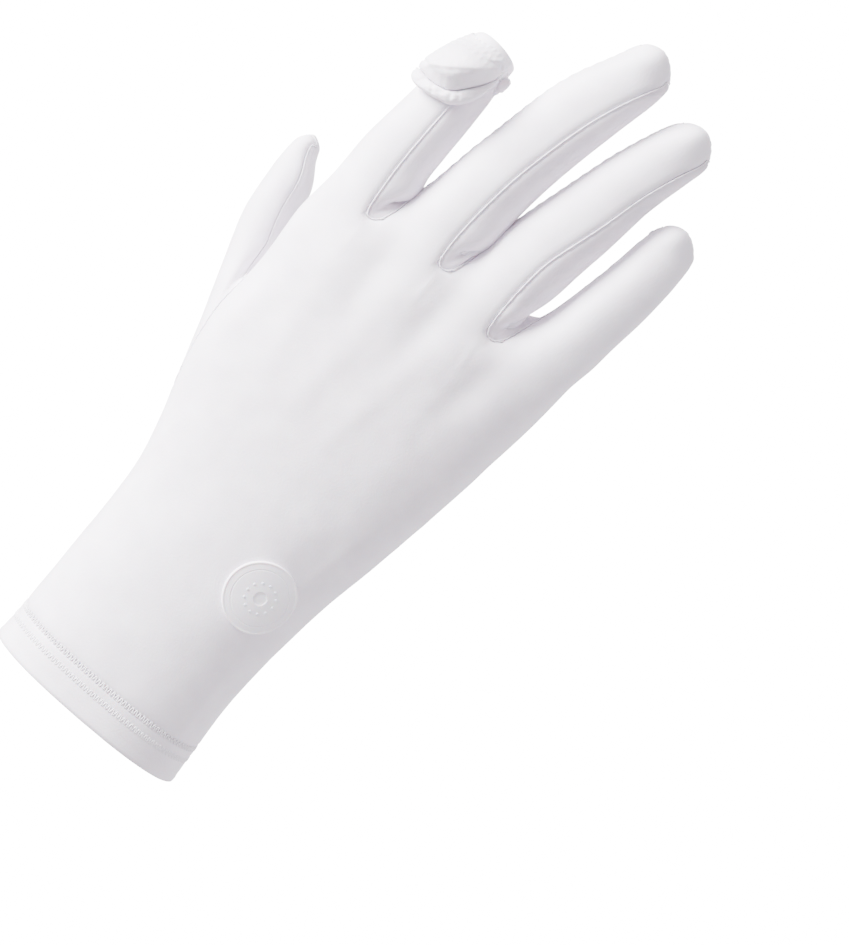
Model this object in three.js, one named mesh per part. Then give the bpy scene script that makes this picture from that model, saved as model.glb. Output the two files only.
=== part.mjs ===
// A sun glove for the right hand, cut from thin stretch jersey and shown as a hand fills it.
//
// Millimetres. +Z runs from the wrist opening to the fingertips. The back of the hand faces -Y,
// the thumb is on the -X side and the little finger on the +X side. The origin is the middle of
// the wrist opening.
//
// The glove is first laid out as one coarse cage of four-sided faces, with every seam on a cage
// line. The cage is rounded once, split along its seams, and each panel is given its cloth wall.

import * as THREE from "three";

// Driving sizes

const WALL = 1.2;              // cloth wall of a panel
const HEM_PROUD = 0.3;         // the turned cuff hem stands this far outside the panels
const HEM_WALL = 1.8;          // folded cloth of the cuff hem and of the fingertip rim
const SEAM_GAP = 0.36;         // clear space between the walls of two panels
const FACE_SQUARE = 2.25;      // 2 gives oval cross-sections, more gives boxier ones

const BADGE_RADIUS = 9.8;      // round rubber badge on the back of the wrist
const BADGE_THICK = 0.9;
const BADGE_RIM = 0.5;         // its edge stands this much higher
const BADGE_CLEAR = 0.45;      // space under it
const BADGE_X = 16.2;
const BADGE_Z = 54.2;

const THUMB_HOLE = { turn: -111, halfTurn: 26, z: 97, halfHeight: 20.5 };

const COLOURS = { jersey: 0xeeecf1, fourchette: 0xe6e4ea, rubber: 0xf4f3f6 };

// Tables: one row for each cross-section, counted up from the cuff

const rows = (names, list) => list.map(row => Object.fromEntries(names.map((name, i) => [name, row[i]])));

// Hand from the hem to the finger roots: the two side edges, the back and the palm.
const HAND = rows(["z", "thumbSide", "littleSide", "back", "palm"], [
  [0, -29.8, 29.5, 20.5, 20.5],
  [12, -29.8, 28.7, 20.0, 20.0],
  [26, -30.1, 27.7, 19.4, 19.5],
  [40, -30.5, 28.3, 19.0, 19.4],
  [52, -30.8, 29.4, 18.6, 19.6],
  [62, -32.3, 30.4, 18.2, 20.0],
  [72, -35.0, 32.0, 17.6, 20.6],
  [82, -38.3, 33.9, 17.0, 20.6],
  [92, -41.2, 35.1, 16.4, 20.0],
  [102, -42.4, 36.6, 15.8, 18.8],
  [112, -42.4, 37.8, 15.2, 17.2],
  [122, -42.4, 38.8, 14.8, 15.6],
  [132, -42.6, 39.8, 14.0, 14.2],
  [143, -42.9, 40.8, 12.7, 12.4],
  [156, -42.9, 41.9, 10.4, 10.4],
]);

// Where the two long panel seams run, in degrees round the hand (0 is the back, 90 the little
// finger's side, 180 the palm).
const SEAMS = rows(["z", "little", "thumb"], [
  [0, 157, 228],
  [26, 156, 229],
  [47, 153, 232],
  [65, 142, 236],
  [80, 128, 240],
  [99, 121, 244],
  [118, 121.5, 246],
  [139, 125, 247],
]);

// Cage rings of the hand, by height. The first two bound the cuff hem.
const RINGS = [0, 11, 27, 44, 61, 78, 91, 104, 117, 128, 138];

// Cage columns across the back: degrees round the hand at the cuff and at the knuckles.
const BACK_COLUMNS = rows(["column", "cuff", "knuckles"], [
  [0, -92, -80],
  [2, -55, -43],
  [3, -36, -33],
  [5, 1, -7],
  [6, 20, 0],
  [8, 57, 20],
  [9, 76, 29],
  [11, 113, 74],
]);

// Finger roots: the two sides of each web, and the outer sides of the first and last finger. A web
// runs from its back edge over its middle to its palm edge.
const ROOT_SIDES = rows(["column", "backX", "backY", "backZ", "middleZ", "palmX", "palmY", "palmZ"], [
  [0, -41.9, -5.0, 148.5, 149.5, -39.6, 5.5, 150.0],
  [2, -29.4, -9.8, 146.8, 153.0, -27.6, 8.2, 153.0],
  [3, -24.2, -10.0, 147.4, 153.4, -23.4, 8.4, 153.4],
  [5, -6.8, -10.9, 150.4, 156.4, -5.8, 8.8, 156.4],
  [6, -1.8, -10.9, 149.4, 156.0, -1.8, 8.8, 156.0],
  [8, 14.6, -10.2, 143.0, 150.8, 15.2, 8.4, 150.6],
  [9, 19.6, -9.6, 143.6, 150.4, 19.6, 8.0, 150.4],
  [11, 40.2, -5.0, 147.5, 148.5, 38.6, 5.6, 149.0],
]);

// Fingers: middle line, half width and half depth, and how far round to the little finger's side
// the seam beside the back strip lies, in degrees.
const FINGER_COLUMNS = ["z", "x", "y", "halfWidth", "halfDepth", "seam"];
const FINGERS = {
  index: {
    sections: rows(FINGER_COLUMNS, [
      [160, -33.2, 0.2, 9.4, 9.2, 14],
      [172, -32.4, 1.0, 9.0, 8.6, 11],
      [184, -31.9, 2.8, 8.6, 8.2, 9],
      [195, -31.9, 5.2, 8.3, 7.9, 9],
      [199.6, -32.1, 6.7, 8.1, 7.8, 9],
    ]),
  },
  middle: {
    sections: rows(FINGER_COLUMNS, [
      [163, -11.1, 0.0, 11.0, 9.6, 14],
      [178, -8.8, 1.0, 11.0, 9.1, 17],
      [191, -6.5, 2.9, 10.2, 8.7, 23],
      [204, -3.9, 5.6, 9.6, 8.4, 32],
      [217, -0.4, 9.4, 8.6, 7.8, 44],
    ]),
    tip: { x: 2.4, y: 13.0, z: 228.2 },
  },
  ring: {
    sections: rows(FINGER_COLUMNS, [
      [161, 10.5, -0.1, 9.6, 9.3, 25],
      [171, 11.1, 0.7, 9.7, 8.9, 30],
      [184, 13.1, 2.4, 9.5, 8.6, 38],
      [197, 16.4, 5.0, 9.3, 8.3, 46],
      [209, 20.5, 8.2, 8.6, 7.7, 55],
    ]),
    tip: { x: 24.6, y: 11.4, z: 219.4 },
  },
  little: {
    sections: rows(FINGER_COLUMNS, [
      [156, 31.8, 0.1, 10.1, 8.6, 55],
      [164, 32.8, 0.8, 9.8, 8.3, 55],
      [172, 33.8, 1.9, 9.5, 8.0, 55],
      [180, 34.9, 3.5, 9.0, 7.6, 55],
      [188, 35.8, 5.6, 7.9, 7.0, 55],
    ]),
    tip: { x: 36.5, y: 8.0, z: 196.8 },
  },
};

// Thumb, which stands forward of the palm.
const THUMB = {
  sections: rows(["z", "x", "y", "halfWidth", "halfDepth"], [
    [121, -43.7, 17.4, 9.0, 9.4],
    [129, -46.4, 20.0, 8.8, 9.2],
    [137, -48.7, 22.4, 7.9, 8.7],
    [143, -50.4, 24.0, 6.2, 7.4],
  ]),
  tip: { x: -52.0, y: 25.4, z: 148.0 },
};

// The edge of the palm opening, seen square on: from the thumb along the heel of the hand to the
// corner under the little finger, then back to the thumb below the finger roots.
const OPENING_HEEL = rows(["x", "z"], [
  [-26.0, 78.6],
  [-19.0, 79.2],
  [-12.0, 81.9],
  [-4.5, 86.2],
  [3.6, 93.0],
]);
const OPENING_LITTLE = rows(["x", "z"], [
  [9.6, 101.0],
  [14.4, 111.5],
  [17.6, 123.0],
  [18.6, 131.0],
  [17.9, 138.0],
]);
const OPENING_FINGERS = rows(["x", "z"], [
  [7.6, 137.6],
  [-5.4, 136.6],
  [-19.3, 132.8],
  [-26.6, 128.6],
  [-31.2, 121.6],
]);

// The fingertip hood, folded back over the index finger: one row for each cut across it, from
// the thumb's side to the middle finger's side. Its mouth is at lipZ, between the upper fold that
// ends there and the lower lobe that starts behind it. bulge and lobe are how far the two stand
// off the finger's back.
const HOOD = rows(["x", "lipZ", "lowZ", "topZ", "bulge", "lobe"], [
  [-43.6, 186.2, 184.2, 192.5, 5.7, 3.1],
  [-41.2, 186.0, 182.6, 197.5, 7.6, 3.8],
  [-38.0, 186.2, 181.8, 200.5, 9.4, 4.7],
  [-34.6, 187.4, 181.7, 201.4, 10.1, 5.3],
  [-31.2, 189.8, 183.0, 201.5, 9.7, 5.4],
  [-28.2, 193.0, 186.2, 200.4, 8.4, 4.9],
  [-25.8, 195.2, 190.6, 199.2, 5.9, 3.4],
]);
const HOOD_WALL = 1.0;
const HOOD_SEAT = 0.8;         // space between the hood and the finger's back
const HOOD_CENTRE = -33.7;     // the hood lies off centre, towards the thumb
const HOOD_HALF_WIDTH = 11;

// Small helpers

const degrees = Math.PI / 180;
const mix = (a, b, t) => a + (b - a) * t;
const eased = t => t * t * (3 - 2 * t);
const clamp = (value, low, high) => Math.min(high, Math.max(low, value));

// A smooth value of one column of a table, at any value of its key column.
function along(list, key, name, value) {
  const last = list.length - 1;
  let i = 0;
  while (i < last - 1 && list[i + 1][key] < value) i++;
  const span = list[i + 1][key] - list[i][key];
  const t = (value - list[i][key]) / span;
  const slope = j => {
    const low = Math.max(j - 1, 0);
    const high = Math.min(j + 1, last);
    return (list[high][name] - list[low][name]) / (list[high][key] - list[low][key]);
  };
  if (t <= 0) return list[i][name] + slope(i) * (value - list[i][key]);
  if (t >= 1) return list[i + 1][name] + slope(i + 1) * (value - list[i + 1][key]);
  const a = list[i][name];
  const b = list[i + 1][name];
  const m = slope(i) * span;
  const n = slope(i + 1) * span;
  const t2 = t * t;
  const t3 = t2 * t;
  return a * (2 * t3 - 3 * t2 + 1) + m * (t3 - 2 * t2 + t) + b * (3 * t2 - 2 * t3) + n * (t3 - t2);
}

// Hand surface

const signedPower = (value, power) => Math.sign(value) * Math.abs(value) ** power;

function handPoint(turn, z) {
  const left = along(HAND, "z", "thumbSide", z);
  const right = along(HAND, "z", "littleSide", z);
  const s = Math.sin(turn * degrees);
  const c = Math.cos(turn * degrees);
  const depth = along(HAND, "z", c > 0 ? "back" : "palm", z);
  const power = 2 / FACE_SQUARE;
  return new THREE.Vector3(
    mix(left, right, 0.5) + (right - left) / 2 * signedPower(s, power),
    -depth * signedPower(c, power),
    z,
  );
}

// The turn at which the hand's surface has a given x, on the back or on the palm.
function turnAt(x, z, onPalm) {
  const left = along(HAND, "z", "thumbSide", z);
  const right = along(HAND, "z", "littleSide", z);
  const u = clamp((x - mix(left, right, 0.5)) / ((right - left) / 2), -1, 1);
  const turn = Math.asin(signedPower(u, FACE_SQUARE / 2)) / degrees;
  return onPalm ? 180 - turn : turn;
}

// Cage

const cage = { points: [], faces: [] };

function addPoint(point) {
  cage.points.push(point);
  return cage.points.length - 1;
}

function addFace(piece, ...corners) {
  cage.faces.push({ piece, corners });
}

// Two rings of the same count are joined by a band of faces. pieceAt gives each face's piece.
function band(lower, upper, pieceAt) {
  const count = lower.length;
  for (let i = 0; i < count; i++) {
    const piece = pieceAt(i);
    const next = (i + 1) % count;
    if (piece) addFace(piece, lower[i], lower[next], upper[next], upper[i]);
  }
}

// Column numbers round a hand ring: 0 to 11 over the back, 12 on the little finger's side, 13 to
// 24 over the palm back towards the thumb, 25 on the thumb's side. Each finger has two faces on
// the back and two on the palm, with one face between it and the next.
const ACROSS = 11;
const LITTLE_SIDE = 12;
const THUMB_SIDE = 25;
const AROUND = 26;
const palmColumn = k => THUMB_SIDE - 1 - k;
const OPENING_FROM = 1;
const OPENING_TO = 9;
const OPENING_RING = 5;
const OPENING_TOP_RING = 10;
const THUMB_TOP_RING = 8;

function columnTurn(column, z) {
  const rise = eased(clamp((z - 35) / 85, 0, 1));
  const back = k => mix(along(BACK_COLUMNS, "column", "cuff", k), along(BACK_COLUMNS, "column", "knuckles", k), rise);
  const little = along(SEAMS, "z", "little", Math.min(z, 139));
  const thumb = along(SEAMS, "z", "thumb", Math.min(z, 139));
  if (column <= ACROSS) return back(column);
  if (column === LITTLE_SIDE) return mix(back(ACROSS), little, 0.5);
  if (column === THUMB_SIDE) return mix(thumb, back(0) + 360, 0.5);
  return mix(little, thumb, (column - palmColumn(ACROSS)) / ACROSS);
}

// Each hand point is first a place on the surface: turn and height.
const places = RINGS.map(z => Array.from({ length: AROUND }, (_, column) => ({ turn: columnTurn(column, z), z })));
const held = new Set();
const placeName = (ring, column) => ring * AROUND + column;

function setPlace(ring, column, turn, z) {
  places[ring][column] = { turn: turn < -60 && column > ACROSS ? turn + 360 : turn, z };
  held.add(placeName(ring, column));
}

// The twelve cage points round the thumb's root, from the back of its lower edge.
const thumbRoot = [
  [5, 0], [6, 0], [7, 0], [8, 0], [8, 25], [8, 24],
  [8, 23], [7, 23], [6, 23], [5, 23], [5, 24], [5, 25],
];
thumbRoot.forEach(([ring, column], i) => {
  const angle = (-45 + 30 * i) * degrees;
  const turn = THUMB_HOLE.turn + THUMB_HOLE.halfTurn * Math.cos(angle);
  setPlace(ring, column, turn, THUMB_HOLE.z + THUMB_HOLE.halfHeight * Math.sin(angle));
});

// The palm opening's edge: even steps along a smooth line between two cage points.
function layEdge(ringColumns, outline) {
  const curve = new THREE.CatmullRomCurve3(outline.map(p => new THREE.Vector3(p.x, 0, p.z)), false, "centripetal");
  const spots = curve.getSpacedPoints(ringColumns.length - 1);
  ringColumns.forEach(([ring, column], i) => {
    if (!held.has(placeName(ring, column))) setPlace(ring, column, turnAt(spots[i].x, spots[i].z, true), spots[i].z);
  });
}

const upTo = (from, to) => Array.from({ length: Math.abs(to - from) + 1 }, (_, i) => from + i * Math.sign(to - from));
const edgePlace = ([ring, column]) => {
  const { turn, z } = places[ring][column];
  return handPoint(turn, z);
};
const heelCorner = [OPENING_RING, palmColumn(OPENING_FROM)];
const thumbCorner = [THUMB_TOP_RING, palmColumn(OPENING_FROM)];
layEdge(
  upTo(OPENING_FROM, OPENING_TO).map(k => [OPENING_RING, palmColumn(k)]),
  [edgePlace(heelCorner), ...OPENING_HEEL],
);
layEdge(
  upTo(OPENING_RING, OPENING_TOP_RING).map(ring => [ring, palmColumn(OPENING_TO)]),
  [OPENING_HEEL.at(-1), ...OPENING_LITTLE],
);
layEdge(
  [
    ...upTo(OPENING_TO, OPENING_FROM).map(k => [OPENING_TOP_RING, palmColumn(k)]),
    [OPENING_TOP_RING - 1, palmColumn(OPENING_FROM)],
    thumbCorner,
  ],
  [OPENING_LITTLE.at(-1), ...OPENING_FINGERS, edgePlace(thumbCorner)],
);

const inOpening = (ring, column) =>
  ring > OPENING_RING && ring < OPENING_TOP_RING &&
  column > palmColumn(OPENING_TO) && column < palmColumn(OPENING_FROM);
const inThumbRoot = (ring, column) =>
  ring > OPENING_RING && ring < THUMB_TOP_RING && column > palmColumn(OPENING_FROM);

// The palm's free cage points are spaced evenly between those that are held.
for (let round = 0; round < 30; round++) {
  for (let ring = 2; ring < RINGS.length - 1; ring++) {
    for (let column = palmColumn(ACROSS) + 1; column < AROUND; column++) {
      const fixed = held.has(placeName(ring, column)) || column === palmColumn(0);
      if (fixed || inOpening(ring, column) || inThumbRoot(ring, column)) continue;
      const right = (column + 1) % AROUND;
      const around = [places[ring][column - 1], places[ring][right]];
      const upright = [places[ring - 1][column], places[ring + 1][column]];
      const wrapped = place => (place.turn < 0 ? place.turn + 360 : place.turn);
      const all = [...around, ...upright];
      places[ring][column] = {
        turn: all.reduce((sum, place) => sum + wrapped(place), 0) / all.length,
        z: all.reduce((sum, place) => sum + place.z, 0) / all.length,
      };
    }
  }
}

const grid = places.map((ringPlaces, ring) => ringPlaces.map(({ turn, z }, column) =>
  inOpening(ring, column) || inThumbRoot(ring, column) ? -1 : addPoint(handPoint(turn, z))));

// Finger roots: the last ring, with a strip across each web
const ROOT_HEIGHT = 151;
const rootPoint = (column, onPalm) => {
  const side = onPalm ? "palm" : "back";
  const known = ROOT_SIDES.find(root => root.column === column);
  const value = name => along(ROOT_SIDES, "column", `${side}${name}`, column);
  if (known) return addPoint(new THREE.Vector3(value("X"), value("Y"), value("Z")));
  const { y } = handPoint(turnAt(value("X"), ROOT_HEIGHT, onPalm), ROOT_HEIGHT);
  return addPoint(new THREE.Vector3(value("X"), y, value("Z")));
};
const backRoots = upTo(0, ACROSS).map(column => rootPoint(column, false));
const palmRoots = upTo(0, ACROSS).map(column => rootPoint(column, true));
const rootMiddles = new Map(ROOT_SIDES.map(root => {
  const outward = root.column === 0 ? -1.6 : root.column === ACROSS ? 1.6 : 0;
  const x = mix(root.backX, root.palmX, 0.5) + outward;
  return [root.column, addPoint(new THREE.Vector3(x, mix(root.backY, root.palmY, 0.5), root.middleZ))];
}));
const rootRing = [...backRoots, rootMiddles.get(ACROSS), ...palmRoots.slice().reverse(), rootMiddles.get(0)];
grid.push(rootRing);

// Panels of the hand

const isBackColumn = column => column <= LITTLE_SIDE || column >= palmColumn(0);
function handPiece(ring, column) {
  if (ring === 0) return "cuff_hem";
  const inThumb = ring >= OPENING_RING && ring < THUMB_TOP_RING && column >= palmColumn(OPENING_FROM);
  if (inThumb) return null;
  if (isBackColumn(column)) return "back_panel";
  const inHole = ring >= OPENING_RING && ring < OPENING_TOP_RING &&
    column >= palmColumn(OPENING_TO) && column < palmColumn(OPENING_FROM);
  if (inHole) return null;
  if (ring >= OPENING_TOP_RING) return "finger_palm_panel";
  const aboveThumb = ring >= THUMB_TOP_RING && column === palmColumn(OPENING_FROM);
  return aboveThumb ? "finger_palm_panel" : "lower_palm_panel";
}
for (let ring = 0; ring < RINGS.length; ring++) {
  band(grid[ring], grid[ring + 1], column => handPiece(ring, column));
}

// A ring of points square to a tube's middle line. Each angle is counted from the back, towards
// the little finger's side.
function sectionRing(centre, ahead, halfWidth, halfDepth, angles) {
  const side = new THREE.Vector3(1, 0, 0).addScaledVector(ahead, -ahead.x).normalize();
  const back = new THREE.Vector3().crossVectors(side, ahead).normalize();
  return angles.map(angle => centre.clone()
    .addScaledVector(side, halfWidth * Math.sin(angle * degrees))
    .addScaledVector(back, halfDepth * Math.cos(angle * degrees)));
}

// A tube's end: the last ring is shrunk twice towards the tip and closed with a small grid.
function closeTip(ring, acrossCount, tip, pieceAt) {
  const points = ring.map(i => cage.points[i]);
  const middle = points.reduce((sum, p) => sum.add(p), new THREE.Vector3()).divideScalar(points.length);
  const dome = points.map(p => addPoint(middle.clone().lerp(tip, 0.62).addScaledVector(p.clone().sub(middle), 0.78)));
  band(ring, dome, pieceAt.side);
  const upCount = ring.length / 2 - acrossCount;
  const edge = [];
  for (let j = 0; j <= upCount; j++) {
    edge.push([]);
    for (let i = 0; i <= acrossCount; i++) {
      const onLow = j === 0;
      const onHigh = j === upCount;
      if (onLow) edge[j].push(dome[i]);
      else if (onHigh) edge[j].push(dome[acrossCount + upCount + (acrossCount - i)]);
      else if (i === acrossCount) edge[j].push(dome[acrossCount + j]);
      else if (i === 0) edge[j].push(dome[dome.length - j]);
      else {
        const low = cage.points[dome[i]];
        const high = cage.points[dome[acrossCount + upCount + (acrossCount - i)]];
        const flat = low.clone().lerp(high, j / upCount);
        const rise = tip.clone().sub(middle.clone().lerp(tip, 0.62));
        edge[j].push(addPoint(flat.add(rise)));
      }
    }
  }
  for (let j = 0; j < upCount; j++) {
    for (let i = 0; i < acrossCount; i++) {
      addFace(pieceAt.end(j), edge[j][i], edge[j][i + 1], edge[j + 1][i + 1], edge[j + 1][i]);
    }
  }
}

// Fingers

const FOURCHETTES = ["fourchette_index_middle", "fourchette_middle_ring", "fourchette_ring_little"];
FOURCHETTES.forEach((name, k) => {
  const [left, right] = [3 * k + 2, 3 * k + 3];
  const [middleLeft, middleRight] = [rootMiddles.get(left), rootMiddles.get(right)];
  addFace(name, backRoots[left], backRoots[right], middleRight, middleLeft);
  addFace(name, middleLeft, middleRight, palmRoots[right], palmRoots[left]);
});

const THUMB_WARD_SEAM = -98;   // the back strip's seam on the thumb's side of each finger
const PALM_SEAMS = [124, 232];

Object.values(FINGERS).forEach(({ sections, tip }, k) => {
  const from = 3 * k;
  const roots = [
    ...upTo(from, from + 2).map(column => backRoots[column]),
    rootMiddles.get(from + 2),
    ...upTo(from + 2, from).map(column => palmRoots[column]),
    rootMiddles.get(from),
  ];
  const littleSide = FOURCHETTES[k] ?? "back_panel";
  const thumbSide = FOURCHETTES[k - 1] ?? "back_panel";
  const around = [
    "back_panel", "back_panel", littleSide, littleSide,
    "finger_palm_panel", "finger_palm_panel", thumbSide, thumbSide,
  ];
  const stations = tip ? [...sections, tip] : sections;
  let lower = roots;
  sections.forEach((section, i) => {
    const centre = new THREE.Vector3(section.x, section.y, section.z);
    const before = stations[Math.max(i - 1, 0)];
    const after = stations[Math.min(i + 1, stations.length - 1)];
    const ahead = new THREE.Vector3(after.x - before.x, after.y - before.y, after.z - before.z).normalize();
    const back = upTo(0, 2).map(step => mix(THUMB_WARD_SEAM, section.seam, step / 2));
    const palm = upTo(0, 2).map(step => mix(PALM_SEAMS[0], PALM_SEAMS[1], step / 2));
    const angles = [...back, mix(section.seam, PALM_SEAMS[0], 0.5), ...palm, mix(PALM_SEAMS[1], 262, 0.5)];
    const ring = sectionRing(centre, ahead, section.halfWidth, section.halfDepth, angles).map(addPoint);
    const isRim = !tip && i === sections.length - 1;
    band(lower, ring, column => (isRim ? "index_tip_rim" : around[column]));
    lower = ring;
  });
  if (tip) {
    closeTip(lower, 2, new THREE.Vector3(tip.x, tip.y, tip.z), {
      side: column => around[column],
      end: j => (j === 0 ? "back_panel" : "finger_palm_panel"),
    });
  }
});

// Thumb

const THUMB_CROTCH_LIFT = 2.4;
const thumbAngles = upTo(0, 11).map(i => -70 + 30 * i);
const thumbPiece = column => (column < 3 || column > 8 ? "thumb_back" : "thumb_front");
let thumbRing = thumbRoot.map(([ring, column]) => grid[ring][column]);
THUMB.sections.forEach((section, i) => {
  const stations = [...THUMB.sections, THUMB.tip];
  const before = stations[Math.max(i - 1, 0)];
  const after = stations[i + 1];
  const ahead = new THREE.Vector3(after.x - before.x, after.y - before.y, after.z - before.z).normalize();
  const centre = new THREE.Vector3(section.x, section.y, section.z);
  const ring = sectionRing(centre, ahead, section.halfWidth, section.halfDepth, thumbAngles);
  if (i === 0) {
    const halfway = ring.map((p, j) => {
      const nearHand = (1 + Math.sin(thumbAngles[j] * degrees)) / 2;
      const lift = new THREE.Vector3(0, THUMB_CROTCH_LIFT * nearHand, THUMB_CROTCH_LIFT * nearHand);
      return addPoint(p.clone().lerp(cage.points[thumbRing[j]], 0.5).add(lift));
    });
    band(thumbRing, halfway, thumbPiece);
    thumbRing = halfway;
  }
  const added = ring.map(addPoint);
  band(thumbRing, added, thumbPiece);
  thumbRing = added;
});
closeTip(thumbRing, 3, new THREE.Vector3(THUMB.tip.x, THUMB.tip.y, THUMB.tip.z), {
  side: thumbPiece,
  end: j => (j === 0 ? "thumb_back" : "thumb_front"),
});

// Rounding: Catmull-Clark, with open edges rounded along themselves only

const average = list => list.reduce((sum, p) => sum.add(p), new THREE.Vector3()).divideScalar(list.length);
const edgeName = (a, b) => (a < b ? `${a}_${b}` : `${b}_${a}`);

function rounded({ points, faces }) {
  const centres = faces.map(face => average(face.corners.map(i => points[i])));
  const edges = new Map();
  const atPoint = points.map(() => ({ faces: [], edges: new Set() }));
  faces.forEach(({ corners }, f) => corners.forEach((a, i) => {
    const b = corners[(i + 1) % corners.length];
    const name = edgeName(a, b);
    if (!edges.has(name)) edges.set(name, { ends: [a, b], faces: [] });
    edges.get(name).faces.push(f);
    atPoint[a].faces.push(f);
    atPoint[a].edges.add(name);
    atPoint[b].edges.add(name);
  }));
  const moved = points.map((point, i) => {
    const { faces: near, edges: names } = atPoint[i];
    if (!near.length) return point.clone();
    const middles = [...names].map(name => ({ open: edges.get(name).faces.length === 1, ends: edges.get(name).ends }));
    const open = middles.filter(edge => edge.open);
    const middleOf = ({ ends }) => points[ends[0]].clone().lerp(points[ends[1]], 0.5);
    if (open.length) return average(open.map(middleOf)).lerp(point, 0.5);
    const count = names.size;
    return average(near.map(f => centres[f]))
      .add(average(middles.map(middleOf)).multiplyScalar(2))
      .addScaledVector(point, count - 3)
      .divideScalar(count);
  });
  const result = { points: moved, faces: [] };
  const centreIndex = centres.map(point => result.points.push(point.clone()) - 1);
  edges.forEach(edge => {
    const ends = edge.ends.map(i => points[i]);
    const near = edge.faces.length === 2 ? [...ends, ...edge.faces.map(f => centres[f])] : ends;
    edge.middle = result.points.push(average(near)) - 1;
  });
  faces.forEach(({ piece, corners }, f) => corners.forEach((corner, i) => {
    const next = corners[(i + 1) % corners.length];
    const previous = corners[(i + corners.length - 1) % corners.length];
    const ahead = edges.get(edgeName(corner, next)).middle;
    const behind = edges.get(edgeName(previous, corner)).middle;
    result.faces.push({ piece, corners: [corner, ahead, centreIndex[f], behind] });
  }));
  return result;
}

// Rounding draws a form in, so the cage is pushed out until the rounded form keeps the tables' sizes.
// The finger roots are left soft.
const wanted = cage.points.map(point => point.clone());
const soft = new Set([...rootRing, ...rootMiddles.values()]);
for (let round = 0; round < 3; round++) {
  const now = rounded(cage).points;
  cage.points.forEach((point, i) => {
    if (!soft.has(i)) point.addScaledVector(wanted[i].clone().sub(now[i]), 0.85);
  });
}
const skin = rounded(cage);

// Cloth walls

const normals = skin.points.map(() => new THREE.Vector3());
skin.faces.forEach(({ corners }) => {
  const [a, b, c, d] = corners.map(i => skin.points[i]);
  const normal = new THREE.Vector3().crossVectors(c.clone().sub(a), d.clone().sub(b));
  corners.forEach(i => normals[i].add(normal));
});
normals.forEach(normal => normal.normalize());

// One panel: its faces pulled back from its seams, its cloth between an outer and an inner side.
function clothPanel(piece, outside, inside) {
  const faces = skin.faces.filter(face => face.piece === piece);
  const edges = new Map();
  faces.forEach(({ corners }) => corners.forEach((a, i) => {
    const b = corners[(i + 1) % corners.length];
    const name = edgeName(a, b);
    if (edges.has(name)) edges.delete(name);
    else edges.set(name, [a, b]);
  }));
  const onEdge = new Set([...edges.values()].flat());
  const corner = new Map([...onEdge].map(i => [i, { inward: new THREE.Vector3(), angle: 0 }]));
  faces.forEach(({ corners }) => corners.forEach((i, at) => {
    if (!onEdge.has(i)) return;
    const [ahead, across, behind] = [1, 2, 3].map(step => skin.points[corners[(at + step) % 4]].clone().sub(skin.points[i]));
    corner.get(i).inward.add(across.normalize());
    corner.get(i).angle += ahead.angleTo(behind);
  }));
  const index = new Map();
  const positions = [];
  const place = (i, depth) => {
    const point = skin.points[i].clone().addScaledVector(normals[i], -depth);
    if (onEdge.has(i)) {
      const { inward, angle } = corner.get(i);
      const pull = inward.clone().addScaledVector(normals[i], -inward.dot(normals[i])).normalize();
      point.addScaledVector(pull, SEAM_GAP / 2 / Math.max(Math.sin(angle / 2), 0.4));
    }
    positions.push(...point);
    return positions.length / 3 - 1;
  };
  faces.forEach(({ corners }) => corners.forEach(i => {
    if (!index.has(i)) index.set(i, [place(i, -outside), place(i, inside)]);
  }));
  const at = i => new THREE.Vector3().fromArray(positions, 3 * i);
  const triangles = [];
  const addQuad = (a, b, c, d) => {
    const cutAcross = at(a).distanceTo(at(c)) > at(b).distanceTo(at(d));
    triangles.push(...(cutAcross ? [a, b, d, b, c, d] : [a, b, c, a, c, d]));
  };
  faces.forEach(({ corners }) => {
    const pairs = corners.map(i => index.get(i));
    addQuad(...pairs.map(pair => pair[0]));
    addQuad(...pairs.map(pair => pair[1]).reverse());
  });
  edges.forEach(([a, b]) => {
    const [outA, inA] = index.get(a);
    const [outB, inB] = index.get(b);
    addQuad(outB, outA, inA, inB);
  });
  return solidGeometry(positions, triangles);
}

function solidGeometry(positions, triangles) {
  const geometry = new THREE.BufferGeometry();
  geometry.setAttribute("position", new THREE.Float32BufferAttribute(positions, 3));
  geometry.setIndex(triangles);
  geometry.computeVertexNormals();
  return geometry;
}

// A closed solid from two grids of points that face each other.
function sheetSolid(outer, inner) {
  const across = outer[0].length;
  const count = outer.length;
  const positions = [...outer.flat(), ...inner.flat()].flatMap(p => [...p]);
  const out = (i, j) => i * across + j;
  const inn = (i, j) => (count + i) * across + j;
  const triangles = [];
  const addQuad = (a, b, c, d) => triangles.push(a, b, c, a, c, d);
  for (let i = 0; i < count - 1; i++) {
    for (let j = 0; j < across - 1; j++) {
      addQuad(out(i, j), out(i, j + 1), out(i + 1, j + 1), out(i + 1, j));
      addQuad(inn(i, j), inn(i + 1, j), inn(i + 1, j + 1), inn(i, j + 1));
    }
    addQuad(out(i, 0), out(i + 1, 0), inn(i + 1, 0), inn(i, 0));
    addQuad(out(i + 1, across - 1), out(i, across - 1), inn(i, across - 1), inn(i + 1, across - 1));
  }
  for (let j = 0; j < across - 1; j++) {
    addQuad(out(0, j + 1), out(0, j), inn(0, j), inn(0, j + 1));
    addQuad(out(count - 1, j), out(count - 1, j + 1), inn(count - 1, j + 1), inn(count - 1, j));
  }
  return solidGeometry(positions, triangles);
}

// Hood: a sheet bent round from its upper lip over the top, down behind and up to its lower lip

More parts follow.
